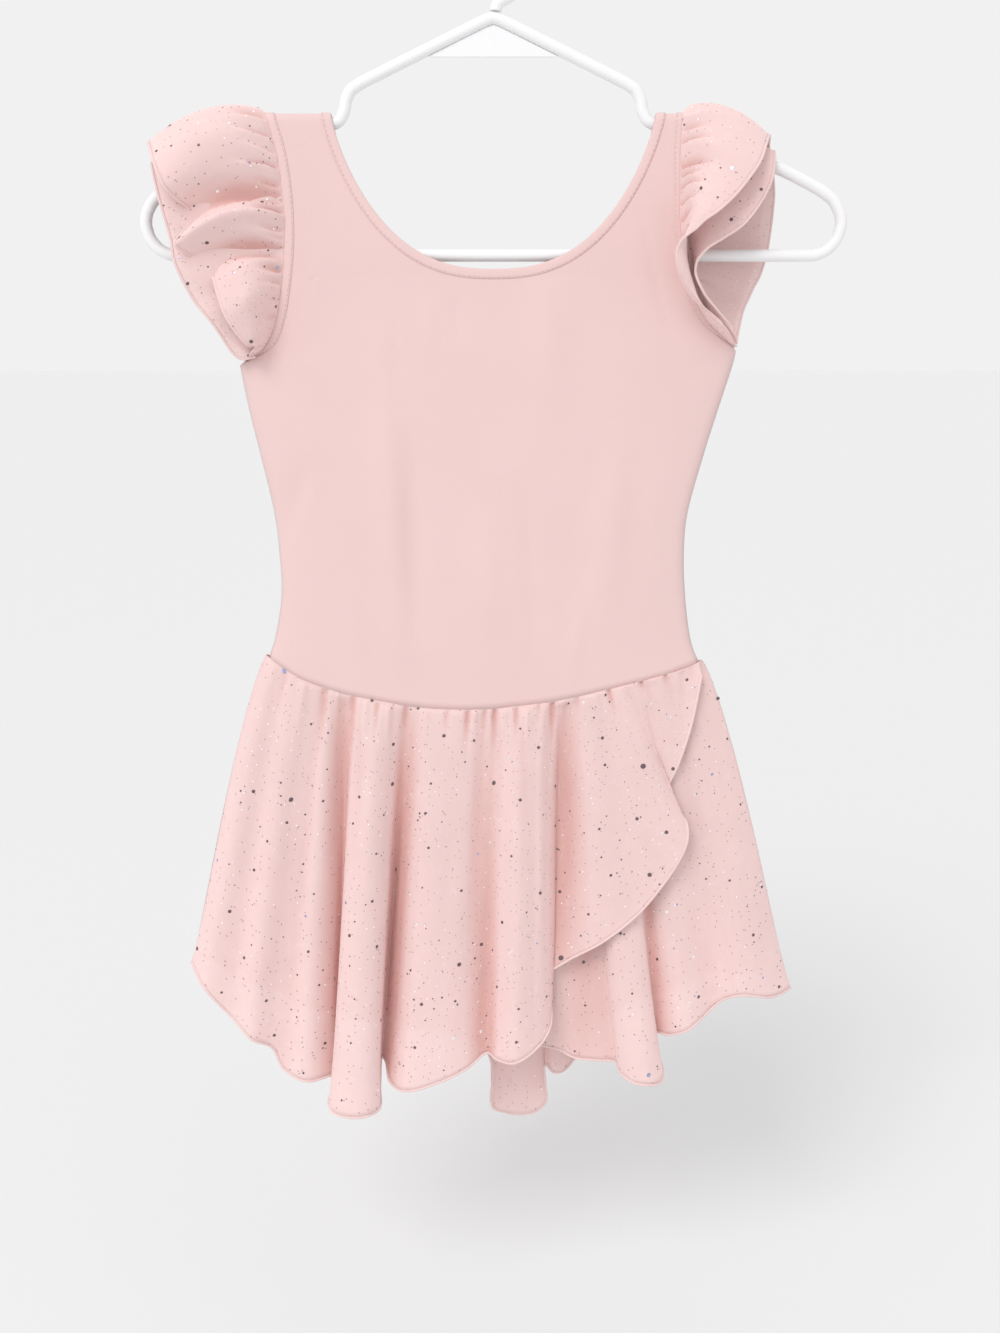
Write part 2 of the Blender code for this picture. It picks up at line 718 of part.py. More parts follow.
def hanger():
    """Frame, web under its top, and hook."""
    right = HANGER_LINE
    left = [(-x, z) for x, z in right[:0:-1]]
    tube("hanger_frame", right + left, TUBE_RADIUS, True)
    centre = HOOK_RADIUS - HOOK_LOOP_RADIUS
    loop = []
    for k in range(HOOK_LOOP_PIECES + 1):
        angle = math.radians(HOOK_LOOP_FROM + HOOK_LOOP_TURN * k / HOOK_LOOP_PIECES)
        loop.append((HOOK_LOOP_RADIUS * math.cos(angle),
                     centre + HOOK_LOOP_RADIUS * math.sin(angle)))
    tube("hanger_hook", HOOK_STEM + loop, HOOK_RADIUS, False)
    outline = bpy.data.curves.new("hanger_web", "CURVE")
    outline.dimensions = "2D"
    outline.fill_mode = "BOTH"
    outline.extrude = WEB_THICKNESS / 2 * MM
    spline = outline.splines.new("POLY")
    spline.points.add(len(WEB_CORNERS) - 1)
    for point, (x, z) in zip(spline.points, WEB_CORNERS):
        point.co = (x * MM, z * MM, 0.0, 1.0)
    spline.use_cyclic_u = True
    outline.materials.append(white_plastic())
    web = bpy.data.objects.new("hanger_web", outline)
    web.rotation_euler = (math.pi / 2, 0.0, 0.0)
    garment.objects.link(web)


for old in list(bpy.data.objects):
    bpy.data.objects.remove(old, do_unlink=True)
garment = bpy.data.collections.new("skirted_leotard")
bpy.context.scene.collection.children.link(garment)

bodice_panel("bodice_front", -1, NECK_FRONT_DROP)
bodice_panel("bodice_back", 1, NECK_BACK_DROP)
neck_binding()
armhole_binding("armhole_binding_left", -1)
armhole_binding("armhole_binding_right", 1)
sleeve("sleeve_left_upper", -1, LEFT_UPPER_HEM, 2.3, SEAM_GAP, 10.0)
sleeve("sleeve_left_lower", -1, LEFT_LOWER_HEM, 0.5, 2.2, 3.0)
sleeve("sleeve_right_upper", 1, RIGHT_UPPER_HEM, 2.3, SEAM_GAP, 9.0)
sleeve("sleeve_right_lower", 1, RIGHT_LOWER_HEM, 0.6, 3.0, 2.0)
skirt_panel("skirt_overlap", OVERLAP_HEM, -1, SKIRT_PROUD, 0.9, (-1,), 3)
skirt_panel("skirt_underlap", UNDERLAP_HEM, -1, -UNDERLAP_INSET, 1.6, (1,), 3)
skirt_panel("skirt_back", BACK_HEM, 1, SKIRT_PROUD, 0.9, (-1, 1), 2)
brief_panel("brief_front", -1)
brief_panel("brief_back", 1)
hanger()
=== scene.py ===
import bisect
import functools
import math
import random

import bpy
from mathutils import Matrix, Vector


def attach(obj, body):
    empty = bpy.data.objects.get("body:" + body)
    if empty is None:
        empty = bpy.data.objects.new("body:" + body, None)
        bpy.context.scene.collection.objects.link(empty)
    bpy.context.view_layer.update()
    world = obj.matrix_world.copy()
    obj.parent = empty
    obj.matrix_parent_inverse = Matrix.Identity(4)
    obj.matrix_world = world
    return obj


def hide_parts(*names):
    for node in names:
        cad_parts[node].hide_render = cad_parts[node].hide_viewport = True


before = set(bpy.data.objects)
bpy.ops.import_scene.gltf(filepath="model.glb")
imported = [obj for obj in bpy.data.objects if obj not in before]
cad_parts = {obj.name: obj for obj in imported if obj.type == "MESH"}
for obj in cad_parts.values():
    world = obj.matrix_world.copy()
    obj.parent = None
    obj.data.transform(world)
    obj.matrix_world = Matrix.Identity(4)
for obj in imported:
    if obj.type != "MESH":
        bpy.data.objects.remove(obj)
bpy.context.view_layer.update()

bl_info = {
    "name": "Skirted Leotard",
    "version": (1, 0, 0),
    "blender": (4, 5, 0),
    "location": "View3D > Sidebar > Leotard",
    "description": "Skirted leotard with flutter sleeves on a tubular hanger",
    "category": "Object",
}

BODY = "root"
MM = 0.001

# The pattern: lengths in millimetres; squareness, roundness, steps, tapers and
# the like are shares and powers without a unit
SEAM_GAP = 0.3
SEAM_LIP = 0.15
SEAM_TURN = 1.6
TUCK = 1.5
BINDING_PROUD = 0.4
BINDING_SUNK = 0.2
BINDING_CROWN = 0.45
TUBE_RADIUS = 3.7
HOOK_RADIUS = 3.6
HOOK_LOOP_RADIUS = 24.6
SLEEVE_FOOT = 0.93
SLEEVE_HEM_STEPS = 240
ARMHOLE_FOOT = 0.96
ARMHOLE_STITCHES = 0.82
NECK_STITCHES = 1.0
SHOULDER_Z = -118.5
FOLD_RADIUS = 5.5
ROLL = FOLD_RADIUS * math.pi / 2
NECK_HALF_WIDTH = 98.0
NECK_FRONT_DROP = 94.0
NECK_BACK_DROP = 112.0
NECK_BINDING = 6.0
NECK_SQUARENESS = 1.389
NECK_ROUNDNESS = 0.4
ARMPIT_Z = {-1: -266.0, 1: -257.5}
ARM_BINDING = {-1: 6.2, 1: 4.2}
BINDING_FADE = 12.0
BODY_SQUARENESS = 4
BODY_ROUNDNESS = 0.6
BACK_CREASES = -0.6
MIDDLE_STRAIGHT = 120.0
MIDDLE_FADE = 60.0
SKIRT_PROUD = 1.2
UNDERLAP_INSET = 0.8
BRIEF_INSET = 2.8
BRIEF_HOLLOW = 1.8
BRIEF_LEFT = -145.4
BRIEF_RIGHT = 130.4
BRIEF_SIDE = 44.0
BRIEF_TAPER = 0.06
LEG_ROUNDNESS = 0.62
CROTCH_Z = -665.0
CROTCH_HALF = 32.0
WAIST_START = -148.0
GATHER = 284.0 / 24
SKIRT_FLARE = 0.22
ROOT_STEP = 0.05
# Fold depths at which the painted shade in the folds is full: skirt, sleeves, tucks under the
# waist seam
HOLLOW_FULL = 7.5
SLEEVE_HOLLOW_FULL = 3.5
TUCK_FULL = 2.2
PUCKER_RELIEF = 1.7
CREASE_RELIEF = 1.4
CRISP_SPAN = 25.0
HEM_TONE = 0.88
HEM_MEAN = (-24.0, -16.0, -8.0, 0.0, 8.0, 16.0, 24.0)
# Swing of a skirt fold on its way down: share and power, early and near the hem
BELL_EARLY = (0.62, 0.85)
BELL_LATE = (0.38, 10)
HEM_THICK = 0.5

# Cloth laid flat, in metres: width and height
BRIEF_CUT = (0.276, 0.18)
SLEEVE_CUT = (0.44, 0.08)

# In metres: face and thickness of a binding, heights of a foil dot's middle, rim and
# sunken foot, and the reach within which points merge
BINDING_FACE = 0.006
BINDING_WALL = 0.0011
DOT_TOP = 0.00018
DOT_RIM = 0.00004
DOT_FOOT = 0.0001
MERGE_WITHIN = 0.00004

# A stitch: half its thickness in millimetres, and its pitch against its length
STITCH_THICK = 0.22
STITCH_PITCH = 1.45

# Edge of the armhole: height, x on the left, x on the right
ARMHOLE = [
    (-266, -158.5, 153), (-257.5, -144, 151), (-240, -135, 132), (-220, -130.7, 122),
    (-200, -128, 116.8), (-180, -127.3, 114), (-160, -128.5, 113.5), (-140, -131.5, 113),
    (-118.5, -137.5, 114),
]
# Side seam: height, x on the left, x on the right
SIDE = [
    (-460, -148.5, 136.5), (-453, -146.5, 132), (-440, -142, 127.5), (-412, -137, 123.5),
    (-385, -137.5, 122), (-360, -139.8, 123.5), (-320, -148, 133.5), (-296, -153.3, 140.5),
    (-266, -158.5, 149.5), (-257.5, -159, 151),
]
# Half depth of the body: height, in the middle, at the edge
DEPTH = [
    (-460, 10, 1.6), (-330, 10, 1.6), (-285, 9.4, 1.6), (-266, 9.2, 1.6), (-245, 8.8, 4.6),
    (-225, 8.4, 6.6), (-200, 8, 7), (-160, 7, 6.6), (-123, FOLD_RADIUS, FOLD_RADIUS),
]
# Waist seam: x, height in front, height behind
WAIST = [
    (-149, -451.5, -451.5), (-141, -456.5, -454), (-123, -467, -458), (-89, -477.3, -464),
    (-46, -484.6, -468.5), (-19, -486, -470), (6, -484.6, -470), (39, -480.4, -468),
    (88, -469.4, -463), (122, -460.5, -458.5), (137, -455, -455),
]
# Soft folds of the bodice front: x and height of the top, the same of the
# end, half width, depth (a minus sign is a trough)
CREASES = [
    (-70, -240, -58, -470, 9, 1.8), (-52, -300, -50, -450, 8, -1.5),
    (-8, -350, 2, -440, 9, 1.2), (78, -300, 70, -440, 10, 1.6),
    (-118, -320, -136, -392, 7, -1.4), (30, -215, 40, -300, 11, 1.2),
    (-62, -232, -60, -286, 3.5, -0.5), (-40, -222, -38, -262, 3, 0.5),
    (-24, -222, -22, -256, 3, -0.5), (-106, -330, -140, -404, 4.5, 0.8),
    (-104, -190, -118, -262, 4, 0.6), (88, -170, 112, -262, 5, -0.6),
    (96, -330, 110, -420, 6, 0.8), (20, -330, 28, -470, 6, -0.7),
    (-96, -400, -84, -474, 5, 0.7), (60, -400, 48, -474, 5, 0.6),
]
# Hem of the overlapping front: x at the waist, then x, y, z at the hem
OVERLAP_HEM = [
    (-148, -206, -2, -664), (-142, -195, -17, -676), (-134, -176, -17, -699),
    (-127, -163, -26, -709), (-119, -150, -19, -719), (-113, -143, -18, -735),
    (-106, -127, -24, -741), (-98, -108, -16, -740), (-93, -106, -15, -744),
    (-89, -111.5, -28, -752), (-84, -108, -38, -756), (-77, -97, -43, -757),
    (-69, -84, -42, -756.5), (-64, -76.5, -33, -755), (-60.5, -77.5, -22, -746),
    (-56, -77, -15, -730), (-51, -73.5, -16, -731), (-46.5, -70.5, -24, -741),
    (-40, -60, -34, -742.5), (-24, -37, -37, -735), (-10, -18, -31, -728), (0, -5, -23, -720.5),
    (7, 2, -31, -721.5), (17, 14, -40, -719), (29, 29, -34, -711), (36.5, 37.5, -26, -700),
    (41, 38, -22, -686), (44, 33, -20, -670), (50, 48, -21, -656), (58, 72, -23, -641),
    (66, 95, -22, -622), (73, 111, -21, -602), (78, 121, -22, -585), (82, 126.5, -21, -571),
    (85.5, 126, -18, -560), (90, 119.5, -14, -552), (95, 114.5, -12, -544),
    (99, 114, -12, -537), (108, 120, -13, -522), (118, 127, -12, -500),
    (127, 131.5, -9.5, -480), (133.5, 134.5, -7, -463),
]
# Hem of the front under the overlap, from its hidden end to the side seam
UNDERLAP_HEM = [
    (-24, -22, -12, -700), (4, 10, -12, -716), (24, 34, -12, -722), (32, 45, -12, -725),
    (39, 55, -14, -730), (48, 72, -18, -730.5), (54, 83, -18, -731), (57, 85, -24, -735),
    (62, 93, -32, -738.5), (69, 104.5, -34, -739.6), (74, 113, -28, -740),
    (77.5, 115, -20, -736), (80, 111, -13, -724), (84, 110, -11, -713), (89, 118, -16, -712),
    (95, 129, -22, -706.5), (101, 139, -18, -700.5), (106, 147, -13, -694.7),
    (112, 155.5, -14, -687), (118, 165, -20, -681.5), (124, 176, -20, -682),
    (129, 186, -16, -684.6), (133, 196, -9, -685), (135.4, 203, -2, -684),
]
# Hem of the back, from the left side seam to the right
BACK_HEM = [
    (-148, -206, 2, -664), (-141, -193, 14, -672), (-128, -173, 10, -684),
    (-115, -154, 22, -696), (-101, -134, 13, -706), (-88, -116, 25, -713), (-74, -96, 14, -716),
    (-60, -77, 26, -717), (-46, -60, 15, -722), (-31, -36, 22, -727), (-20, -16, 14, -731),
    (-14, -4, 12, -741), (-10, -1, 13, -757), (-6.5, -2.5, 17, -776), (-3, -1, 23, -788),
    (3, 8, 28, -794.5), (11, 19, 29, -796.5), (18, 30, 26, -792.5), (22.5, 37, 20, -781),
    (26, 36, 15, -764), (30, 35.5, 14, -750), (35, 42, 20, -759), (41, 50, 23, -759),
    (47, 58, 16, -744), (54, 68, 22, -725), (64, 82, 14, -712), (78, 101, 24, -703),
    (92, 122, 13, -692), (106, 145, 22, -684), (119, 169, 12, -680), (129, 189, 14, -680),
    (135.5, 203, 2, -684),
]
# Hems of the sleeves: share of the armhole from its front end, then x, y, z
LEFT_UPPER_HEM = [
    (0, -143, -13, -256), (0.05, -150, -18, -255), (0.1, -157, -23, -246),
    (0.145, -163, -24, -235), (0.18, -168, -19, -221), (0.205, -172, -11, -210),
    (0.225, -176, -11, -204), (0.25, -184.5, -20, -201), (0.272, -190, -26, -197),
    (0.295, -187, -21, -190), (0.317, -182.5, -11, -182), (0.337, -183, -11, -175.5),
    (0.362, -189, -21, -170), (0.392, -195, -27, -163), (0.43, -200.5, -24, -151),
    (0.468, -204.5, -15, -141), (0.5, -208, -4, -135), (0.56, -205, 10, -145),
    (0.65, -196, 21, -168), (0.74, -185, 20, -192), (0.84, -173, 23, -218),
    (0.93, -158, 18, -240), (1, -146, 13, -254),
]
LEFT_LOWER_HEM = [
    (0, -147, -9, -262), (0.06, -158, -11, -262), (0.13, -170, -15, -244),
    (0.21, -183, -15, -227), (0.28, -192, -18, -207), (0.34, -195, -14, -192),
    (0.42, -201, -12, -170), (0.5, -207, -2, -147), (0.58, -204, 8, -163),
    (0.68, -195, 14, -193), (0.79, -184, 12, -222), (0.9, -168, 13, -248), (1, -149, 8, -263),
]
RIGHT_UPPER_HEM = [
    (0, 140, -14, -242), (0.06, 120, -26, -227), (0.12, 110, -34, -212), (0.18, 109, -38, -198),
    (0.25, 120, -40, -187), (0.32, 133, -38, -177), (0.38, 145, -33, -166),
    (0.44, 157, -25, -150), (0.5, 166, -5, -132), (0.53, 168, 7, -136), (0.56, 170, 15, -148),
    (0.65, 167, 25, -178), (0.75, 165, 22, -201), (0.85, 159, 24, -222), (0.93, 153, 18, -237),
    (1, 149, 13, -246),
]
RIGHT_LOWER_HEM = [
    (0, 148, -9, -246), (0.05, 136, -17, -234), (0.1, 126, -23, -223), (0.15, 121, -26, -211),
    (0.21, 125, -29, -201), (0.29, 138, -26, -192), (0.37, 153, -23, -181),
    (0.44, 166, -15, -160), (0.47, 169, -9, -147.5), (0.5, 170, -1, -140),
    (0.53, 171, 7.5, -149), (0.57, 173, 11, -164), (0.66, 172, 15, -188), (0.76, 168, 14, -208),
    (0.87, 158, 16, -231), (0.94, 154, 11, -245), (1, 152, 7, -254),
]
# Puckers under the front waist seam: x, half width, depth, length as a share
PUCKERS = [
    (-141, 2.2, 1.4, 0.1), (-133.5, 1.8, -1.4, 0.09), (-122, 2.4, 1.5, 0.14),
    (-109, 2.4, -2, 0.13), (-101, 1.6, 1, 0.07), (-91, 2.2, -1.8, 0.12), (-82, 1.8, 1.2, 0.09),
    (-75, 1.8, -1.4, 0.07), (-67.5, 2.2, 1.4, 0.1), (-57, 2, -1.3, 0.08), (-44, 2.6, 0.8, 0.08),
    (-30, 2, -0.8, 0.05), (-17, 1.8, -1.5, 0.07), (-12, 1.6, 1, 0.05), (-6, 1.5, -1, 0.05),
    (0.5, 1.8, -1.7, 0.11), (7, 2, 1.3, 0.08), (14.5, 1.7, -1.5, 0.08), (22, 2.2, 1.2, 0.09),
    (29, 1.8, -1.2, 0.06), (38, 2, -1.8, 0.1), (45, 2, 1.2, 0.08), (54, 1.8, -1, 0.06),
    (66, 2.2, 1, 0.07), (74, 1.8, -1.5, 0.1), (84, 1.8, 1, 0.06), (95, 1.8, -1.4, 0.09),
    (103, 1.8, 1, 0.06), (111, 1.6, -1.2, 0.08), (121, 1.8, 1, 0.06),
]
# Long soft folds of the skirt front: x at the waist, half width, depth, where
# the fold is deepest as a share of the length, how far it reaches each way
LONG_FOLDS = [
    (-136, 3, -1.6, 0.45, 0.4), (-122, 4, 1.4, 0.5, 0.4), (-111, 2.6, -1.6, 0.35, 0.34),
    (-97, 5, -5.8, 0.22, 0.32), (-93, 3, -6, 0.62, 0.36), (-76, 7.5, 3.2, 0.3, 0.4),
    (-57, 3.4, -7.5, 0.62, 0.42), (-38, 11, 1.6, 0.6, 0.4), (-24, 5, -1, 0.4, 0.3),
    (-9, 5, -2.6, 0.4, 0.4), (3, 3.2, 1.2, 0.3, 0.24), (19, 8.5, 3.4, 0.35, 0.45),
    (31, 3, 2.4, 0.4, 0.4), (46.5, 7, -7, 0.42, 0.46), (61, 5, 1.4, 0.3, 0.34),
    (67, 5, -1.7, 0.5, 0.36), (80, 5, 1.4, 0.45, 0.4), (84.5, 3, -3.2, 0.62, 0.3),
    (94, 4.2, -1.5, 0.35, 0.34), (108, 5, 1.2, 0.45, 0.34), (120, 3, -1.3, 0.3, 0.3),
]
# Puffs and valleys of the sleeves' upper layers: share of the armhole, half
# width, depth, step where it is deepest, how far it reaches
BACK_PUFFS = [
    (0.59, 0.02, -3.5, 0.35, 0.4), (0.65, 0.022, 2.5, 0.35, 0.4), (0.72, 0.016, -4, 0.3, 0.4),
    (0.8, 0.016, -3.5, 0.3, 0.36),
]
LEFT_PUFFS = [
    (0.412, 0.036, 4, 0.45, 0.4), (0.327, 0.015, -7.5, 0.32, 0.46),
    (0.272, 0.018, 4.5, 0.4, 0.4), (0.216, 0.015, -8.5, 0.32, 0.46),
    (0.13, 0.028, 3.5, 0.45, 0.4), (0.48, 0.008, -3, 0.07, 0.16),
    (0.464, 0.008, 1.6, 0.1, 0.16), (0.444, 0.007, -3.2, 0.08, 0.22),
    (0.428, 0.007, 1.8, 0.1, 0.16), (0.412, 0.007, -3.6, 0.08, 0.2),
    (0.384, 0.008, -3.8, 0.1, 0.26), (0.368, 0.007, 2, 0.12, 0.18),
    (0.352, 0.007, -3.4, 0.08, 0.2), (0.296, 0.007, -3.6, 0.08, 0.2),
    (0.282, 0.006, 1.8, 0.1, 0.14), (0.262, 0.007, -4, 0.1, 0.24),
    (0.244, 0.006, -2.4, 0.06, 0.14), (0.182, 0.007, -3.2, 0.08, 0.2),
    (0.156, 0.007, -2.8, 0.07, 0.18), (0.122, 0.007, -2.4, 0.06, 0.16),
    (0.09, 0.007, -2, 0.06, 0.14),
] + BACK_PUFFS
RIGHT_PUFFS = [
    (0.47, 0.008, 2, 0.12, 0.2), (0.455, 0.007, -3.2, 0.08, 0.18),
    (0.443, 0.007, 1.8, 0.12, 0.18), (0.43, 0.007, -3.4, 0.08, 0.22),
    (0.406, 0.012, 3, 0.25, 0.3), (0.382, 0.009, -4.6, 0.14, 0.3),
    (0.36, 0.007, -3.2, 0.08, 0.22), (0.348, 0.006, 1.8, 0.1, 0.16),
    (0.336, 0.007, -4.2, 0.1, 0.24), (0.318, 0.009, 3, 0.22, 0.28),
    (0.302, 0.007, -3.6, 0.12, 0.22), (0.286, 0.008, 2, 0.2, 0.22),
    (0.27, 0.009, -3.8, 0.16, 0.24), (0.235, 0.008, -2.8, 0.1, 0.2), (0.2, 0.012, 2, 0.2, 0.25),
    (0.165, 0.008, -2.6, 0.08, 0.18),
] + BACK_PUFFS
# Half of the hanger's line, from the middle of the top to that of the bar
HANGER_LINE = [
    (0, -65), (5, -66.4), (80, -101.6), (85.6, -105.4), (88.6, -111), (90, -117.4),
    (92.6, -122.2), (97, -124.6), (104, -125), (115, -128.4), (173, -150), (199, -162.6),
    (207, -168.4), (211.6, -176), (212.6, -183), (210.4, -191), (205, -197.4), (196, -201),
    (60, -201),
]
HOOK_STEM = [
    (1.5, -61), (1.8, -58.6), (4.4, -55.6), (9, -53.4), (15.4, -48.4), (20.4, -41),
    (23.6, -31.6),
]

# Foil dots: how many in a square metre, size against a middling one. The bigger
# ones take the emptiest of a few random places
DOT_KINDS = [(140, 1.7), (950, 1.15), (2000, 0.68), (3200, 0.42)]
SPREAD_TRIES = 8
# Tones of the dots, each with the upper end of its share: the foil's own dark tone, then white and
# blue copies with a painted glint
DOT_TONES = (("dark", 0.76), ("bright", 0.92), ("violet", 1.0))

# Colours laid over the chiffon's own, as shares of its colour or as colours
# Painted shade in the folds: multiplied in by how deep a point lies in a fold
FOLD_SHADE_TINT = (0.87, 0.70, 0.67, 1.0)
# Painted highlight along some crinkle creases
CREASE_HIGHLIGHT = (1.0, 0.87, 0.86, 1.0)
DARK_SPECK = (0.36, 0.25, 0.25, 1.0)
# Painted glint on a few of the tiny foil specks
GLINT_SPECK = (1.0, 0.97, 0.98, 1.0)

# Stage: height and size of the floor, lights as kind, place, size and power
FLOOR_Z = -0.95
FLOOR_SIZE = 200.0
SKY_STRENGTH = 0.88
LIGHTS = [
    ("key", "SUN", (-0.8, -1.5, 1.3), math.radians(25.0), 0.95),
    ("gloss", "AREA", (-0.7, -1.5, 0.5), 1.2, 3.0),
]
LIGHT_AIM = (0.0, 0.0, -0.4)

# Camera, at the photo's viewing angle
CAMERA_PLACE = (0.004, -0.9125, -0.2643)
CAMERA_TILT = 77.9345
CAMERA_LENS = 38.62


def length_setting(name, description, default, low, high):
    """A length that can be set in the panel."""
    return bpy.props.FloatProperty(
        name=name, description=description, default=default, min=low, max=high,
        subtype="DISTANCE", unit="LENGTH")


def colour_setting(name, description, default):
    """A colour that can be set in the panel."""
    return bpy.props.FloatVectorProperty(
        name=name, description=description, default=default, subtype="COLOR",
        size=3, min=0.0, max=1.0)


class LeotardSizes(bpy.types.PropertyGroup):
    """Sizes of the cloth and trimming."""

    jersey: length_setting("Jersey", "Thickness of the bodice's jersey", 0.0006, 0.0003, 0.0012)
    chiffon: length_setting(
        "Chiffon", "Thickness of the skirt's and sleeves' chiffon", 0.0003, 0.0002, 0.001)
    hem: length_setting("Hem", "Width of the rolled hems", 0.0017, 0.001, 0.003)
    stitch: length_setting(
        "Stitch", "Length of one stitch of the topstitching", 0.0021, 0.001, 0.004)
    dot: length_setting("Foil dot", "Width of a middling foil dot", 0.0019, 0.0008, 0.004)


class LeotardColours(bpy.types.PropertyGroup):
    """Colours of the cloth, foil and plastic."""

    jersey: colour_setting("Jersey", "Colour of the bodice", (0.775, 0.565, 0.548))
    binding: colour_setting(
        "Binding", "Colour of the neck and armhole bindings", (0.775, 0.562, 0.545))
    thread: colour_setting("Thread", "Colour of the topstitching", (0.74, 0.50, 0.48))
    chiffon: colour_setting("Chiffon", "Colour of the skirt and sleeves", (0.945, 0.705, 0.685))
    foil: colour_setting("Foil", "Colour of the dark foil dots", (0.17, 0.12, 0.13))
    plastic: colour_setting("Plastic", "Colour of the hanger", (0.86, 0.86, 0.87))


def sizes():
    return bpy.context.scene.leotard_sizes


def colours():
    return bpy.context.scene.leotard_colours


# The pattern: where the cloth lies

def curve(t, start, start_slope, end, end_slope):
    """Value at t, from 0 to 1, of the smooth curve between two values."""
    return (
        (2 * t ** 3 - 3 * t ** 2 + 1) * start
        + (t ** 3 - 2 * t ** 2 + t) * start_slope
        + (3 * t ** 2 - 2 * t ** 3) * end
        + (t ** 3 - t ** 2) * end_slope
    )


def between(rows, t):
    """Read a table at t along its first column, on a smooth curve."""
    last = len(rows) - 1
    i = 0
    while i < last - 1 and t > rows[i + 1][0]:
        i += 1
    a, b = rows[i], rows[i + 1]
    span = b[0] - a[0]
    u = min(max((t - a[0]) / span, 0.0), 1.0)
    before = rows[max(i - 1, 0)]
    after = rows[min(i + 2, last)]
    values = []
    for k in range(1, len(a)):
        slope_a = (b[k] - before[k]) / (b[0] - before[0]) * span
        slope_b = (after[k] - a[k]) / (after[0] - a[0]) * span
        values.append(curve(u, a[k], slope_a, b[k], slope_b))
    return values


def height_of(g):
    """Height of a point g down the cloth from the fold over the hanger."""
    if g < ROLL:
        angle = max(g, SEAM_TURN) / FOLD_RADIUS
        return SHOULDER_Z - FOLD_RADIUS * (1 - math.cos(angle))
    return SHOULDER_Z - FOLD_RADIUS - (g - ROLL)


def down_to(z):
    """Way down the cloth to a height on its flat part."""
    return SHOULDER_Z - FOLD_RADIUS - z + ROLL


def edge_x(g, hand):
    """x of the body's edge on one hand, g down the cloth."""
    z = height_of(g)
    table = ARMHOLE if z > ARMPIT_Z[hand] else SIDE
    return between(table, z)[0 if hand < 0 else 1]


def panel_edge_x(g, hand):
    """The same for a bodice panel, which ends at the armhole's binding."""
    x, z = edge_x(g, hand), height_of(g)
    if z > ARMPIT_Z[hand]:
        fade = min((z - ARMPIT_Z[hand]) / BINDING_FADE, 1.0)
        x -= hand * (ARM_BINDING[hand] - TUCK) * fade
    return x


def crease(x, z):
    """Height of the folds of the bodice front."""
    total = 0.0
    for x0, z0, x1, z1, width, depth in CREASES:
        along = (z0 - z) / (z0 - z1)
        if 0.0 < along < 1.0:
            off = x - (x0 + (x1 - x0) * along)
            if abs(off) < 3 * width:
                total += depth * math.exp(-(off / width) ** 2) * math.sin(math.pi * along)
    return CREASE_RELIEF * total


def flat_oval(across):
    """Share of the depth, by the share of the half width from the middle."""
    return max(1 - min(abs(across), 1.0) ** BODY_SQUARENESS, 0.0) ** BODY_ROUNDNESS


def body_depth(x, g, side):
    """Half depth of the body where its cloth lies flat."""
    z = height_of(g)
    middle, edge = between(DEPTH, z)
    left, right = edge_x(g, -1), edge_x(g, 1)
    lens = flat_oval(2 * (x - left) / (right - left) - 1)
    folds = crease(x, z) if side < 0 else BACK_CREASES * crease(-x, z)
    return edge + (middle - edge + folds) * lens


def on_body(x, g, side, out=0.0):
    """Point on the outside of the body, out from its cloth (side -1 is the front)."""
    if g < ROLL:
        radius = FOLD_RADIUS + out
        turned = max(g, SEAM_TURN) / FOLD_RADIUS
        return Vector((x, side * radius * math.sin(g / FOLD_RADIUS),
                       SHOULDER_Z - FOLD_RADIUS + radius * math.cos(turned)))
    return Vector((x, side * (body_depth(x, g, side) + out), height_of(g)))


def neck_line(step, drop, grow):
    """Half width and way down g of the neckline, by its share of the drop."""
    half = NECK_HALF_WIDTH + grow
    round_off = max(1 - step ** NECK_SQUARENESS, 0.0) ** NECK_ROUNDNESS
    return half * round_off, step * (drop + grow)


def neck_step(share):
    """Share of the neck's drop, finely stepped on the shoulder and at the bottom."""
    on_roll, roll_step = 0.16, 0.09
    if share < on_roll:
        return max(roll_step * share / on_roll, 0.0015)
    rest = (share - on_roll) / (1 - on_roll)
    return roll_step + (1 - roll_step) * (1 - (1 - rest) ** 2.5)


def waist_height(x, side):
    front, back = between(WAIST, x)
    return front if side < 0 else back


@functools.lru_cache(maxsize=None)
def waist_down(across, side):
    """Way down g to the waist seam, by the share of the body's width."""
    g = down_to(WAIST[0][1])
    for _ in range(4):
        left, right = panel_edge_x(g, -1), panel_edge_x(g, 1)
        g = down_to(waist_height(left + (right - left) * across, side))
    return g


# Shaping helpers

def clear_selection():
    bpy.ops.object.select_all(action="DESELECT")


def grid_piece(name, columns, rows, place, uv_size=(1.0, 1.0), shade_depth=None, crowd=1.0):
    """A grid laid on the cloth by place(u, v); uv_size is its UV map's, in metres.

    A fold depth function, if given, tells how deep in a fold a point lies, from 0 to 1,
    which sets the painted shade there. A crowd over 1 packs the rows towards v = 1.
    """
    clear_selection()
    bpy.ops.mesh.primitive_grid_add(
        x_subdivisions=columns, y_subdivisions=rows, size=1.0, location=(0.0, 0.0, 0.0))
    piece = bpy.context.active_object
    piece.name = name
    piece.data.name = name
    depths = piece.data.attributes.new("shade_depth", "FLOAT", "POINT") if shade_depth else None
    for vertex in piece.data.vertices:
        u = min(max(vertex.co.x + 0.5, 0.0), 1.0)
        v = 1 - min(max(0.5 - vertex.co.y, 0.0), 1.0) ** crowd
        vertex.co = Vector(place(u, v)) * MM
        if shade_depth:
            depths.data[vertex.index].value = min(max(shade_depth(u, v), 0.0), 1.0)
    for corner in piece.data.uv_layers.active.data:
        v = 1 - max(1 - corner.uv[1], 0.0) ** crowd
        corner.uv = (corner.uv[0] * uv_size[0], v * uv_size[1])
    piece.data.shade_smooth()
    return piece


def joined(name, pieces):
    """Join pieces into one."""
    clear_selection()
    for piece in pieces:
        piece.select_set(True)
    bpy.context.view_layer.objects.active = pieces[0]
    bpy.ops.object.join()
    piece = bpy.context.active_object
    piece.name = name
    piece.data.name = name
    return piece


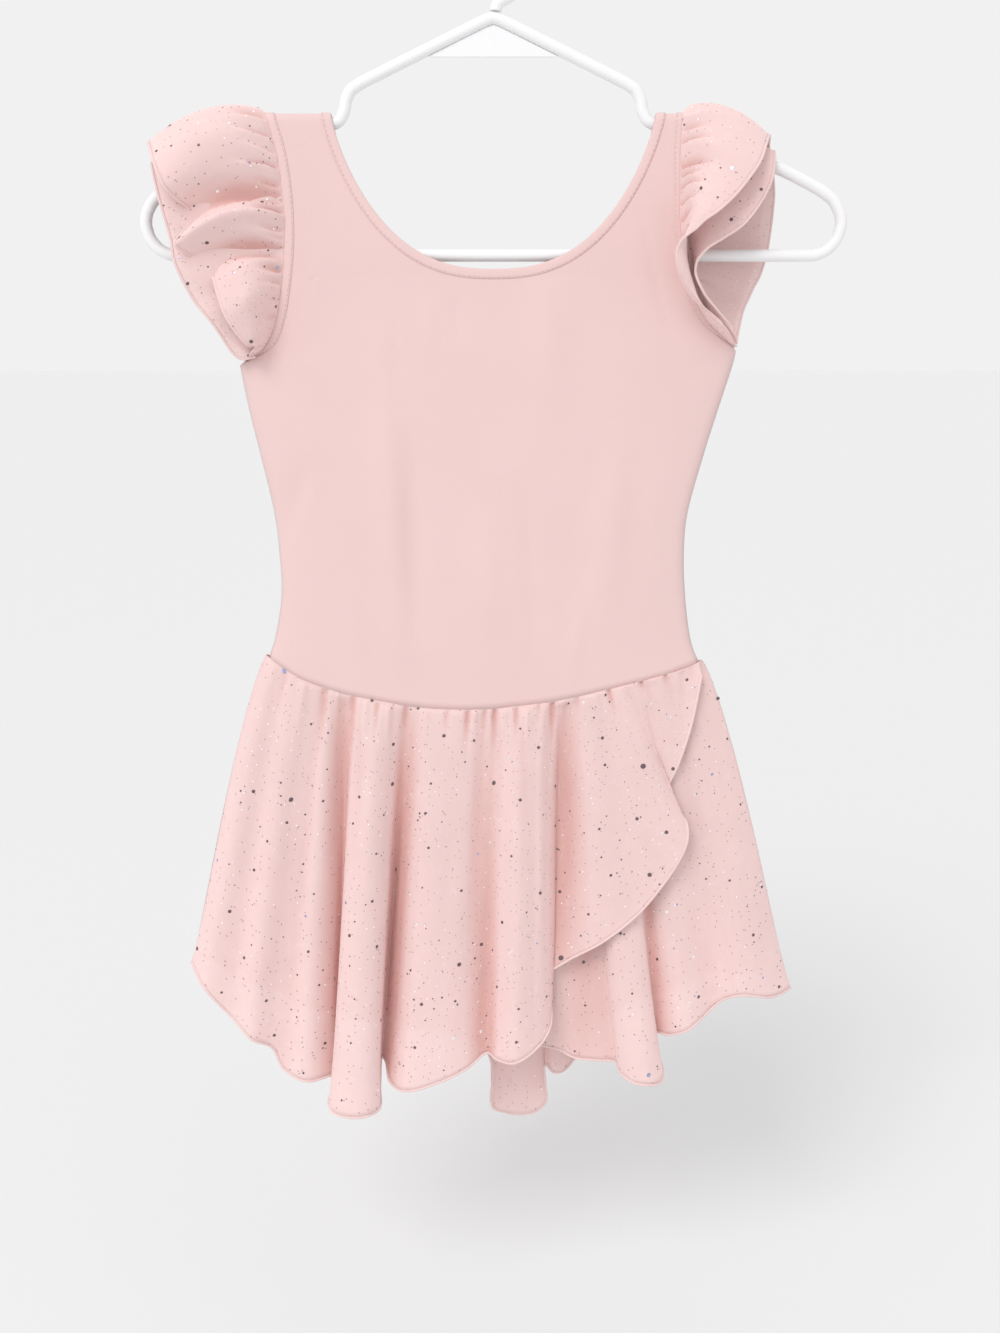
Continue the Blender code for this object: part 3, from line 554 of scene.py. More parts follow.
def choose(piece):
    """Make a piece the only one selected, and the active one."""
    clear_selection()
    piece.select_set(True)
    bpy.context.view_layer.objects.active = piece


def reshape(piece, *steps):
    """Run mesh operators in turn on the whole of a piece."""
    choose(piece)
    bpy.ops.object.mode_set(mode="EDIT")
    for step, settings in steps:
        bpy.ops.mesh.select_all(action="SELECT")
        step(**settings)
    bpy.ops.object.mode_set(mode="OBJECT")


def merge_doubles(piece):
    """Close a piece along its meeting edges."""
    reshape(piece, (bpy.ops.mesh.remove_doubles, {"threshold": MERGE_WITHIN}))


def turn_faces(piece):
    """Point all faces of a piece the other way."""
    reshape(piece, (bpy.ops.mesh.flip_normals, {}))


def thicken(piece, thickness):
    """Give a sheet its thickness, inwards from its outer face."""
    choose(piece)
    bpy.ops.object.modifier_add(type="SOLIDIFY")
    wall = piece.modifiers[-1]
    wall.thickness = thickness
    wall.offset = -1.0
    bpy.ops.object.modifier_apply(modifier=wall.name)


def dress(piece, material, slot, *nodes):
    """Material and body of a finished piece; the parts that it stands for are hidden."""
    piece.data.materials.clear()
    piece.data.materials.append(material)
    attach(piece, BODY)
    if nodes:
        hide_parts(*nodes)
    return piece


def round_cord(name, line, across, thick, sides=8, closed=False):
    """A rounded cord along a line of points (mm), as a rolled hem or a tube is."""
    count = len(line)
    frames = []
    for k in range(count):
        before = line[k - 1] if (k or closed) else line[0]
        after = line[(k + 1) % count] if (k < count - 1 or closed) else line[-1]
        along = (after - before).normalized()
        side = along.cross(Vector((0.0, 1.0, 0.0)))
        if side.length < 0.2:
            side = along.cross(Vector((1.0, 0.0, 0.0)))
        if frames and side.dot(frames[-1][0]) < 0:
            side = -side
        side.normalize()
        frames.append((side, along.cross(side)))
    columns = count if closed else count - 1

    def place(u, v):
        k = round(u * columns) % count
        angle = 2 * math.pi * v
        side, lift = frames[k]
        return line[k] + side * across * math.cos(angle) + lift * thick * math.sin(angle)

    piece = grid_piece(name, columns, sides, place)
    merge_doubles(piece)
    outward = (bpy.ops.mesh.normals_make_consistent, {"inside": False})
    if closed:
        reshape(piece, outward)
    else:
        reshape(piece, (bpy.ops.mesh.fill_holes, {"sides": 0}), outward)
    return piece


def new_piece(name, points, faces):
    """A piece from its points, in metres, and faces."""
    mesh = bpy.data.meshes.new(name)
    mesh.from_pydata(points, [], faces)
    piece = bpy.data.objects.new(name, mesh)
    bpy.context.scene.collection.objects.link(piece)
    return piece


def stitch_row(name, line):
    """Small stitches lying along a line of points (mm), each a little lens."""
    length = sizes().stitch / MM
    pitch = length * STITCH_PITCH
    points, faces = [], []
    spare = 0.0
    for start, end in zip(line, line[1:]):
        along = end - start
        reach = along.length
        if reach < 1e-6:
            continue
        along.normalize()
        out = along.cross(Vector((0.0, 0.0, 1.0)))
        if out.length < 0.1:
            out = Vector((1.0, 0.0, 0.0))
        out.normalize()
        up = along.cross(out)
        at = spare
        while at < reach:
            middle = start + along * at
            first = len(points)
            points.append(middle - along * length / 2)
            for k in range(6):
                angle = math.pi * k / 3
                round_it = out * math.cos(angle) + up * math.sin(angle)
                points.append(middle + round_it * STITCH_THICK)
            points.append(middle + along * length / 2)
            for k in range(6):
                other = (k + 1) % 6
                faces.append((first, first + 1 + other, first + 1 + k))
                faces.append((first + 7, first + 1 + k, first + 1 + other))
            at += pitch
        spare = at - reach
    piece = new_piece(name, [point * MM for point in points], faces)
    piece.data.shade_smooth()
    return piece


# Materials

def feed(tree, node, values):
    """Set a node's inputs by name or number; a socket as the value is linked."""
    for key, value in values.items():
        if isinstance(value, bpy.types.NodeSocket):
            tree.links.new(value, node.inputs[key])
        else:
            node.inputs[key].default_value = value
    return node


def add_node(tree, kind, fed=None, **values):
    """A node with its settings and inputs.

    fed has the inputs that go by a number or by a name with a space.
    """
    node = tree.nodes.new("ShaderNode" + kind)
    inputs = dict(fed or {})
    for key, value in values.items():
        if key in node.inputs:
            inputs[key] = value
        else:
            setattr(node, key, value)
    return feed(tree, node, inputs)


def reckon(tree, operation, *values):
    """Output of a math node on numbers and sockets."""
    return add_node(tree, "Math", dict(enumerate(values)), operation=operation).outputs[0]


def mixed(tree, factor, a, b, blend="MIX"):
    """Output of two colours mixed by a factor."""
    return add_node(tree, "Mix", {6: a, 7: b}, data_type="RGBA", blend_type=blend,
                    Factor=factor).outputs[2]


def place_on(tree, kind):
    """Coordinates of a point of the cloth."""
    return tree.nodes.new("ShaderNodeTexCoord").outputs[kind]


def cloth_tone(group, given):
    """Uneven tone of dyed cloth: a little lighter and darker in soft patches."""
    noise = add_node(group, "TexNoise", Vector=place_on(group, "Object"),
                     Scale=given["Patch"], Detail=3.0, Roughness=0.55)
    centred = reckon(group, "SUBTRACT", noise.outputs["Fac"], 0.5)
    spread = reckon(group, "MULTIPLY_ADD", centred, given["Amount"], 1.0)
    scaled = add_node(group, "VectorMath", {0: given["Colour"], "Scale": spread},
                      operation="SCALE")
    return {"Colour": scaled.outputs[0]}


def weave(group, given):
    """Threads crossing at right angles, on the cloth's own UV map in metres."""
    parts = add_node(group, "SeparateXYZ", {0: place_on(group, "UV")})
    waves = []
    for axis, way in (("X", "Along"), ("Y", "Across")):
        turns = reckon(group, "MULTIPLY", parts.outputs[axis], given[way])
        waves.append(reckon(group, "SINE", reckon(group, "MULTIPLY", turns, 2 * math.pi)))
    return {"Height": reckon(group, "MAXIMUM", *waves)}


def foil_specks(group, given):
    """Masks of tiny foil specks on the cloth's own UV map, and of the few that get a painted
    glint.
    """
    cells = add_node(group, "TexVoronoi", voronoi_dimensions="2D", Randomness=1.0,
                     Vector=place_on(group, "UV"), Scale=given["Cells"])
    near = reckon(group, "LESS_THAN", cells.outputs["Distance"], given["Radius"])
    tints = add_node(group, "SeparateColor", {0: cells.outputs["Color"]})
    chosen = reckon(group, "LESS_THAN", tints.outputs["Red"], given["Share"])
    return {"Mask": reckon(group, "MULTIPLY", near, chosen),
            "Bright": reckon(group, "GREATER_THAN", tints.outputs["Green"], 0.88)}


def crinkle(group, given):
    """Crushed chiffon: soft unevenness, and a mask for a painted highlight along thin creases here
    and there.
    """
    place = place_on(group, "Object")
    soft = add_node(group, "TexNoise", Vector=place, Scale=given["Scale"], Detail=3.0,
                    Roughness=0.6, Distortion=0.6).outputs["Fac"]
    wide = reckon(group, "MULTIPLY", given["Scale"], 1.7)
    where = add_node(group, "TexNoise", Vector=place, Scale=wide, Detail=1.0)
    line = reckon(group, "COMPARE", soft, 0.5, given["Width"])
    here = reckon(group, "GREATER_THAN", where.outputs["Fac"], 0.56)
    both = reckon(group, "MULTIPLY", line, here)
    return {"Height": soft, "Mark": reckon(group, "MULTIPLY", both, 0.22)}


# Node groups: inputs with their defaults, outputs, and what fills them
GROUPS = {
    "cloth_tone": ({"Colour": None, "Amount": 0.06, "Patch": 18.0}, ("Colour",), cloth_tone),
    "weave": ({"Along": 900.0, "Across": 900.0}, ("Height",), weave),
    "foil_specks": (
        {"Cells": 130.0, "Radius": 0.05, "Share": 0.5}, ("Mask", "Bright"), foil_specks),
    "crinkle": ({"Scale": 60.0, "Width": 0.01}, ("Height", "Mark"), crinkle),
}


def add_socket(group, label, way):
    kind = "NodeSocketColor" if label == "Colour" else "NodeSocketFloat"
    return group.interface.new_socket(name=label, in_out=way, socket_type=kind)


def place_group(tree, name, **values):
    """Place a node group, which is made the first time that it is asked for."""
    if name not in bpy.data.node_groups:
        inputs, outputs, fill = GROUPS[name]
        group = bpy.data.node_groups.new(name, "ShaderNodeTree")
        for label, value in inputs.items():
            socket = add_socket(group, label, "INPUT")
            if value is not None:
                socket.default_value = value
        for label in outputs:
            add_socket(group, label, "OUTPUT")
        made = fill(group, group.nodes.new("NodeGroupInput").outputs)
        feed(group, group.nodes.new("NodeGroupOutput"), made)
    node = add_node(tree, "Group", node_tree=bpy.data.node_groups[name])
    return feed(tree, node, values)


def dyed(tree, colour, amount, patch):
    """Output of an unevenly dyed colour."""
    tone = place_group(tree, "cloth_tone", Colour=(*colour, 1.0), Amount=amount, Patch=patch)
    return tone.outputs["Colour"]


def once(build):
    """Build a material only the first time that its name is asked for."""
    @functools.wraps(build)
    def ready(name, *values):
        if name not in bpy.data.materials:
            material = bpy.data.materials.new(name)
            material.use_nodes = True
            tree = material.node_tree
            feed(tree, tree.nodes["Principled BSDF"], build(tree, *values))
        return bpy.data.materials[name]
    return ready


@once
def jersey_material(tree, colour, knit=1500.0, sheen=0.25):
    """Matte stretch jersey: fine knit, soft sheen."""
    threads = place_group(tree, "weave", Along=knit, Across=knit * 0.7)
    bump = add_node(tree, "Bump", Strength=0.18, Distance=0.00012,
                    Height=threads.outputs["Height"])
    return {"Base Color": dyed(tree, colour, 0.05, 22.0), "Normal": bump.outputs["Normal"],
            "Roughness": 0.82, "Specular IOR Level": 0.25,
            "Sheen Weight": sheen, "Sheen Roughness": 0.5}


@once
def chiffon_material(tree, colour, cover=0.74, specks=0.5):
    """Half sheer chiffon with fine crossing threads, crinkles and tiny foil specks, with painted
    shade in its folds, a painted highlight on some creases and a painted glint on a few specks.
    """
    # Painted shade: darker, deeper pink by how deep in a fold the point lies
    folded = add_node(tree, "Attribute", attribute_name="shade_depth")
    deep = mixed(tree, folded.outputs["Fac"], dyed(tree, colour, 0.08, 34.0), FOLD_SHADE_TINT,
                 "MULTIPLY")
    crushed = place_group(tree, "crinkle", Scale=62.0, Width=0.011)
    # Painted highlight: pale lines along some crinkle creases
    highlighted = mixed(tree, crushed.outputs["Mark"], deep, CREASE_HIGHLIGHT)
    foil = place_group(tree, "foil_specks", Cells=150.0, Radius=0.07, Share=specks)
    # The specks' own dark colour, with a painted glint on a few
    kinds = mixed(tree, foil.outputs["Bright"], DARK_SPECK, GLINT_SPECK)
    threads = place_group(tree, "weave", Along=1300.0, Across=1300.0)
    fine = add_node(tree, "Bump", Strength=0.22, Distance=0.0001,
                    Height=threads.outputs["Height"])
    bump = add_node(tree, "Bump", Strength=0.35, Distance=0.0012,
                    Height=crushed.outputs["Height"], Normal=fine.outputs["Normal"])
    edge_on = add_node(tree, "LayerWeight", Blend=0.35)
    cloth = add_node(tree, "MapRange", {"To Min": cover, "To Max": 1.0},
                     Value=edge_on.outputs["Facing"])
    solid = reckon(tree, "MAXIMUM", cloth.outputs["Result"], foil.outputs["Mask"])
    return {"Base Color": mixed(tree, foil.outputs["Mask"], highlighted, kinds),
            "Normal": bump.outputs["Normal"], "Alpha": solid, "Roughness": 0.6,
            "Specular IOR Level": 0.3, "Sheen Weight": 0.3, "Sheen Roughness": 0.4}


@once
def thread_material(tree, colour):
    """Twisted sewing thread."""
    return {"Base Color": dyed(tree, colour, 0.3, 900.0), "Roughness": 0.7}


@once
def foil_material(tree, colour, roughness, metal=0.9):
    """Pressed foil of the dots, a little crinkled."""
    return {"Base Color": dyed(tree, colour, 0.5, 700.0), "Metallic": metal,
            "Roughness": roughness}


@once
def plastic_material(tree, colour):
    """Smooth injection-moulded plastic with faint flow marks."""
    noise = add_node(tree, "TexNoise", Vector=place_on(tree, "Object"), Scale=140.0, Detail=2.0)
    bump = add_node(tree, "Bump", Strength=0.05, Distance=0.0004, Height=noise.outputs["Fac"])
    return {"Base Color": dyed(tree, colour, 0.03, 25.0), "Normal": bump.outputs["Normal"],
            "Roughness": 0.32}


@once
def floor_material(tree):
    """Plain pale paint of the floor."""
    return {"Base Color": (0.78, 0.78, 0.785, 1.0), "Roughness": 0.9}


# The garment

def bodice_half(side, drop, hand, columns, rows):
    """One half of a bodice panel, from its side to the neckline or middle line."""
    grow = NECK_BINDING - TUCK
    foot = drop + grow
    neck_rows, chest_rows = 0.42, 0.56

    def place(u, v):
        down = 1 - v
        share = u if hand < 0 else 1 - u
        across = share / 2 if hand < 0 else 1 - share / 2
        arm = down_to(ARMPIT_Z[-1] + (ARMPIT_Z[1] - ARMPIT_Z[-1]) * across)
        waist_g = waist_down(round(across, 6), side)
        if down < neck_rows:
            step = neck_step(down / neck_rows)
            half, g = neck_line(step, drop, grow)
            inner = hand * half
        else:
            if down < chest_rows:
                g = foot + (arm - foot) * (down - neck_rows) / (chest_rows - neck_rows)
            else:
                g = arm + (waist_g - arm) * (down - chest_rows) / (1 - chest_rows)
            left, right = edge_x(g, -1), edge_x(g, 1)
            inner = (left + right) / 2 * min(max((g - MIDDLE_STRAIGHT) / MIDDLE_FADE, 0.0), 1.0)
        outer = panel_edge_x(g, hand)
        x = outer + (inner - outer) * share
        point = on_body(x, g, side)
        if share == 0.0 and g > ROLL and down >= chest_rows:
            point.y = side * (max(abs(point.y) - SEAM_TURN, 0.0) + SEAM_LIP)
        return point

    return grid_piece("half", columns, rows, place, (0.155, 0.37))


def bodice_panel(name, side, drop):
    """Front or back of the bodice."""
    halves = [bodice_half(side, drop, hand, 44, 112) for hand in (-1, 1)]
    piece = joined(name + "_cloth", halves)
    merge_doubles(piece)
    if side > 0:
        turn_faces(piece)
    thicken(piece, sizes().jersey)
    material = jersey_material("stretch_jersey", colours().jersey)
    dress(piece, material, "pink_jersey", name)
    return piece


def neck_point(t, grow, out):
    """Point round the neck: t from 0 on the left shoulder over the front, 0.5 on
    the right shoulder, back to 1 behind."""
    quarter = int(min(t * 4, 3.999))
    along = t * 4 - quarter
    side, drop = (-1, NECK_FRONT_DROP) if quarter < 2 else (1, NECK_BACK_DROP)
    hand = (-1, 1, 1, -1)[quarter]
    share = along if quarter in (0, 2) else 1 - along
    step = neck_step(share) if share > 0.0 else 0.0
    half, g = neck_line(step, drop, grow)
    return on_body(hand * half, g, side, out)


def crowned(across):
    """Rise of a folded binding over its width."""
    return BINDING_CROWN * (1 - abs(2 * across - 1) ** 3)


def finish_binding(band, name, line):
    """Thickness and looks of a binding, with its row of stitches."""
    thicken(band, BINDING_WALL)
    material = jersey_material("folded_binding", colours().binding, 1300.0, 0.2)
    dress(band, material, "pink_binding", name)
    stitches = stitch_row(name.replace("binding", "stitches"), line)
    dress(stitches, thread_material("thread", colours().thread), "pink_binding")


def neck_binding():
    """Ring of folded jersey round the neckline."""
    def place(u, v):
        return neck_point(u, NECK_BINDING * (1 - v), BINDING_PROUD + crowned(v) - BINDING_SUNK)

    ring = grid_piece("neck_binding_cloth", 320, 8, place, (0.62, BINDING_FACE))
    merge_doubles(ring)
    line = [neck_point(k / 700, NECK_BINDING - NECK_STITCHES, BINDING_PROUD + 0.32)
            for k in range(700)]
    finish_binding(ring, "neck_binding", line)


def chest_level(drop, hand, count):
    """Way down g to one of the levels between the neck's foot and the armpit."""
    foot = drop + NECK_BINDING + SEAM_GAP
    return foot + (down_to(ARMPIT_Z[hand]) - foot) * count


def armhole_binding(name, hand):
    """Folded jersey round an armhole, over the shoulder."""
    low_front = chest_level(NECK_FRONT_DROP, hand, ARMHOLE_FOOT)
    low_back = chest_level(NECK_BACK_DROP, hand, ARMHOLE_FOOT)

    def point(t, across, out):
        g, side = (low_front * (1 - 2 * t), -1) if t < 0.5 else (low_back * (2 * t - 1), 1)
        fade = min((height_of(g) - ARMPIT_Z[hand]) / BINDING_FADE, 1.0)
        outer = edge_x(g, hand)
        return on_body(outer - hand * ARM_BINDING[hand] * fade * across, g, side, out)

    def place(u, v):
        return point(u, v, BINDING_PROUD + crowned(v) - BINDING_SUNK)

    band = grid_piece(name + "_cloth", 150, 6, place, (0.29, BINDING_FACE))
    if hand < 0:
        turn_faces(band)
    line = [point(k / 260, ARMHOLE_STITCHES, BINDING_PROUD + 0.25) for k in range(261)]
    finish_binding(band, name, line)


def finish_chiffon(layer, name, seed, line):
    """Foil dots, thickness, looks and rolled hem of a piece of chiffon."""
    specks = foil_dots("foil_dots_" + name, layer, seed)
    thicken(layer, sizes().chiffon)
    dress(layer, chiffon_material("sheer_chiffon", colours().chiffon), "pink_chiffon", name)
    edge = round_cord(name + "_hem", line, sizes().hem / MM / 2, HEM_THICK)
    rolled = [HEM_TONE * part for part in colours().chiffon]
    dress(edge, chiffon_material("rolled_hem", rolled, 1.0, 0.0), "pink_chiffon")


def folds_at(table, at, step):
    """Height of listed folds: a minus sign is a valley."""
    total = 0.0
    for centre, width, depth, deepest, reach in table:
        off = at - centre
        if abs(off) < 3 * width:
            total += (depth * math.exp(-(off / width) ** 2) * min(step / 0.03, 1.0)
                      * math.exp(-((step - deepest) / reach) ** 2))
    return total


def frill(share, step, phase):
    """Gathers of a sleeve: tight at the seam, opening into waves at the hem."""
    ends = min(10 * share, 10 * (1 - share), 1.0)
    warp = 0.012 * math.sin(2 * math.pi * 3.1 * share + phase)
    fine = math.cos(2 * math.pi * (26 * (share + warp)) + phase)
    wide = math.cos(2 * math.pi * (11 * (share + 1.6 * warp)) + 2.1 * phase)
    uneven = 0.7 + 0.3 * math.sin(2 * math.pi * 4.7 * share + 3 * phase)
    near = math.exp(-(step / 0.3) ** 2)
    tight = fine * (0.25 + 1.0 * min(step / 0.08, 1.0)) * near
    return ends * uneven * (tight + wide * (1.6 * step * (1 - step) + 0.5 * step))


def sleeve(name, hand, hem, out, aside, bulge, phase, valleys=()):
    """One gathered layer of a flutter sleeve."""
    low_front = chest_level(NECK_FRONT_DROP, hand, SLEEVE_FOOT)
    low_back = chest_level(NECK_BACK_DROP, hand, SLEEVE_FOOT)
    low = max(low_front, low_back)

    def place(share, v):
        step = 1 - v
        g = abs(2 * share - 1) * low
        side = -1 if share < 0.5 else 1
        g = min(g, low_front if side < 0 else low_back)
        free = min(step / ROOT_STEP, 1.0)
        root = on_body(edge_x(g, hand) + hand * (aside * free - 0.8 * (1 - free)), g, side,
                       out * free ** 0.5 - 0.3 * (1 - free))
        tip = Vector(between(hem, share))
        turn = math.pi * share
        away = Vector((0.0, -math.cos(turn), math.sin(turn)))
        lift = bulge * 4 * step * (1 - step) + frill(share, step, phase) * free
        lift += folds_at(valleys, share, step)
        return root + (tip - root) * step + away * lift

    # Painted shade: how deep a point lies in the valleys and gathers, which darkens the chiffon
    # there
    def shade_depth(u, v):
        inward = -folds_at(valleys, u, 1 - v) - 0.6 * frill(u, 1 - v, phase)
        return (inward - 0.3) / SLEEVE_HOLLOW_FULL

    layer = grid_piece(name + "_cloth", 300, 34, place, SLEEVE_CUT, shade_depth, 1.35)
    if hand < 0:
        turn_faces(layer)
    line = [place(k / SLEEVE_HEM_STEPS, 0.0) for k in range(SLEEVE_HEM_STEPS + 1)]
    finish_chiffon(layer, name, 30 + int(phase * 10), line)


def rise_at(x, step, side):
    """Small waves of the gathered waist."""
    look = x if side < 0 else -x
    drift = 3.4 * math.sin(look / 21.0) + 1.8 * math.sin(look / 8.3 + 1.0)
    uneven = 0.6 + 0.4 * math.sin(look / 15.0 + 0.6)
    phase = math.cos(2 * math.pi * (look + drift - WAIST_START) / (1.25 * GATHER))
    total = phase * uneven * (0.25 + 0.75 * min(step / 0.08, 1.0)) * max(1 - step / 0.6, 0.0)
    for centre, width, depth, length in PUCKERS:
        off = look - centre
        if abs(off) < 3 * width and step < 2 * length:
            total += (PUCKER_RELIEF * depth * math.exp(-(off / width) ** 2)
                      * min(step / 0.008, 1.0) * math.exp(-(step / length) ** 2))
    return total


def skirt_panel(name, hem, side, proud, spread, early, turned, columns, uv_size, seed,
                crisp=math.inf):
    """Gathered chiffon from the waist seam to its hem.

    From crisp on, the cloth hangs straight from the seam to its wrapped edge.
    uv_size is the size of its UV map, in metres.
    """
    first, last = hem[0][0], hem[-1][0]
    lip = 1.0 / columns

    @functools.lru_cache(maxsize=None)
    def column(u):
        start = lip if -1 in turned else 0.0
        end = 1 - lip if 1 in turned else 1.0
        inside = min(max((u - start) / (end - start), 0.0), 1.0)
        x = first + (last - first) * inside
        z_top = waist_height(x, side) + 2 * SEAM_GAP
        top = (x, side * body_depth(x, down_to(z_top), side), z_top)
        near = [between(hem, min(max(x + away, first), last)) for away in HEM_MEAN]
        mean = [sum(point[k] for point in near) / len(near) for k in range(3)]
        mean[0] += x - sum(min(max(x + away, first), last) for away in HEM_MEAN) / len(near)
        low = between(hem, x)
        straight = min(max((x - crisp) / CRISP_SPAN, 0.0), 1.0)
        mean = [m + (k - m) * straight for m, k in zip(mean, low)]
        sideways = min(abs(2 * inside - 1), 1.0) ** 3 * (1 - straight)
        return x, top, low, mean, sideways

    def place(u, v):
        step = 1 - v
        x, top, low, mean, sideways = column(round(u, 6))
        across = step ** (1 - SKIRT_FLARE * sideways)
        free = min(step / 0.012, 1.0)
        wave = rise_at(x, step, side) + folds_at(LONG_FOLDS, -side * x, step)
        wave = wave * (0.25 + 0.75 * (1 - sideways)) * free + proud * free - 0.5 * (1 - free)
        fold = step ** early
        bell = sum(part * step ** power for part, power in (BELL_EARLY, BELL_LATE))
        point = Vector((
            top[0] + (mean[0] - top[0]) * across + (low[0] - mean[0]) * bell,
            top[1] + (mean[1] - top[1]) * step ** spread + (low[1] - mean[1]) * fold + side * wave,
            top[2] + (low[2] - top[2]) * step,
        ))
        if (-1 in turned and u < lip / 2) or (1 in turned and u > 1 - lip / 2):
            point.y = side * SEAM_LIP
        return point

    # Painted shade: how deep a point lies in the folds and in the tucks under the waist seam,
    # which darkens the chiffon there
    def shade_depth(u, v):
        step = 1 - v
        x, _, low, mean, sideways = column(round(u, 6))
        inward = -side * (low[1] - mean[1]) * step ** early
        inward -= folds_at(LONG_FOLDS, -side * x, step)
        tucked = -rise_at(x, step, side)
        return (1 - sideways) * (max(inward - 0.8, 0.0) / HOLLOW_FULL
                                 + max(tucked - 0.2, 0.0) / TUCK_FULL)

    panel = grid_piece(name + "_cloth", columns, 84, place, uv_size, shade_depth, 1.45)
    if side > 0:
        turn_faces(panel)
    fine = 2 * columns
    start = 1 if -1 in turned else 0
    line = [place(lip * start + (1 - lip * (start + (1 in turned))) * k / fine, 0.0)
            for k in range(fine + 1)]
    finish_chiffon(panel, name, seed, line)


def random_spot(mesh, reach, draw):
    """A random place on a mesh, even by area, with its normal.

    reach adds up the areas of the faces.
    """
    face = mesh.polygons[bisect.bisect_left(reach, draw.random() * reach[-1])]
    corners = [mesh.vertices[i].co for i in face.vertices]
    s, t = draw.random(), draw.random()
    upper = corners[0].lerp(corners[1], s)
    lower = corners[3].lerp(corners[2], s) if len(corners) > 3 else corners[2]
    return upper.lerp(lower, t), face.normal


def foil_dots(name, sheet, seed):
    """Foil dots strewn over a sheet of cloth, as thin lenses on its outer face.

    The dots of one tone make one piece; the white and blue tones are the foil with a painted
    glint.
    """
    draw = random.Random(seed)
    mesh = sheet.data
    reach, area = [], 0.0
    for face in mesh.polygons:
        area += face.area
        reach.append(area)
    tones = {tone: ([], []) for tone, _ in DOT_TONES}
    base = sizes().dot / 2
    big = []
    for count, scale in DOT_KINDS:
        for _ in range(int(count * area)):
            spot, normal = random_spot(mesh, reach, draw)
            if scale > 1.0:
                choices = [random_spot(mesh, reach, draw) for _ in range(SPREAD_TRIES)]
                spot, normal = max(choices, key=lambda choice: min(
                    ((choice[0] - other).length for other in big), default=0.0))
                big.append(spot)
            radius = base * scale * draw.uniform(0.75, 1.25)
            lean = draw.uniform(0.82, 1.0)
            dice = draw.random()
            points, faces = tones[next(tone for tone, end in DOT_TONES if dice < end)]
            side = normal.orthogonal().normalized()
            other = normal.cross(side)
            first = len(points)
            points.append(spot + normal * DOT_TOP)
            for k in range(8):
                angle = math.pi * k / 4
                points.append(spot + normal * DOT_RIM
                              + side * radius * math.cos(angle)
                              + other * radius * lean * math.sin(angle))
            points.append(spot - normal * DOT_FOOT)
            for k in range(8):
                a, b = first + 1 + k, first + 1 + (k + 1) % 8
                faces.append((first, a, b))
                faces.append((first + 9, b, a))
    # The dark dots have the foil's own colour; the white and blue ones carry a painted glint
    looks = {
        "dark": foil_material("foil_dark", colours().foil, 0.45, 0.6),
        "bright": foil_material("foil_bright", (0.95, 0.93, 0.95), 0.2),
        "violet": foil_material("foil_violet", (0.42, 0.44, 0.66), 0.25),
    }
    pieces = []
    for tone, (points, faces) in tones.items():
        if not faces:
            continue
        piece = new_piece(f"{name}_{tone}", points, faces)
        pieces.append(dress(piece, looks[tone], "pink_chiffon"))
    return pieces


def brief_panel(name, side):
    """Front or back of the brief, with its leg openings."""
    middle, half = (BRIEF_LEFT + BRIEF_RIGHT) / 2, (BRIEF_RIGHT - BRIEF_LEFT) / 2
    crotch = CROTCH_HALF / half
    lip = 1.0 / 60

    def place(u, v):
        step = 1 - v
        inside = min(max((u - lip) / (1 - 2 * lip), 0.0), 1.0)
        share = 2 * inside - 1
        z_top = waist_height(middle + half * share, side) - 2 * SEAM_GAP
        reach = max(abs(share) - crotch, 0.0) / (1 - crotch)
        z_low = CROTCH_Z + (z_top - BRIEF_SIDE - CROTCH_Z) * reach ** LEG_ROUNDNESS
        x = middle + half * share * (1 - BRIEF_TAPER * step * share ** 2)
        full = DEPTH[0][1] - BRIEF_INSET - BRIEF_HOLLOW * min(step / 0.1, 1.0)
        depth = SEAM_TURN + (full - SEAM_TURN) * flat_oval(share)
        closing = max(1 - reach / 0.1, 0.0) * max((step - 0.75) / 0.19, 0.0)
        depth -= (depth - SEAM_TURN) * min(closing, 1.0)
        if u < lip / 2 or u > 1 - lip / 2:
            depth = SEAM_LIP
        return Vector((x, side * depth, z_top + (z_low - z_top) * step))

    panel = grid_piece(name + "_cloth", 60, 30, place, BRIEF_CUT)
    if side > 0:
        turn_faces(panel)
    thicken(panel, sizes().jersey)
    dress(panel, jersey_material("stretch_jersey", colours().jersey), "pink_jersey", name)


def smooth_line(points, parts, closed):
    """A line of (x, z) points as finer points on a smooth curve."""
    count = len(points)
    line = []
    spans = count if closed else count - 1
    for i in range(spans):
        near = [points[(i + k) % count] if closed else points[min(max(i + k, 0), count - 1)]
                for k in (-1, 0, 1, 2)]
        for part in range(parts):
            t = part / parts
            pair = []
            for axis in (0, 1):
                a, b, c, d = (point[axis] for point in near)
                slope_b, slope_c = (c - a) * 0.35, (d - b) * 0.35
                limit = abs(c - b) * 1.2 + 0.5
                slope_b = min(max(slope_b, -limit), limit)
                slope_c = min(max(slope_c, -limit), limit)
                pair.append(curve(t, b, slope_b, c, slope_c))
            line.append(Vector((pair[0], 0.0, pair[1])))
    if not closed:
        line.append(Vector((points[-1][0], 0.0, points[-1][1])))
    return line


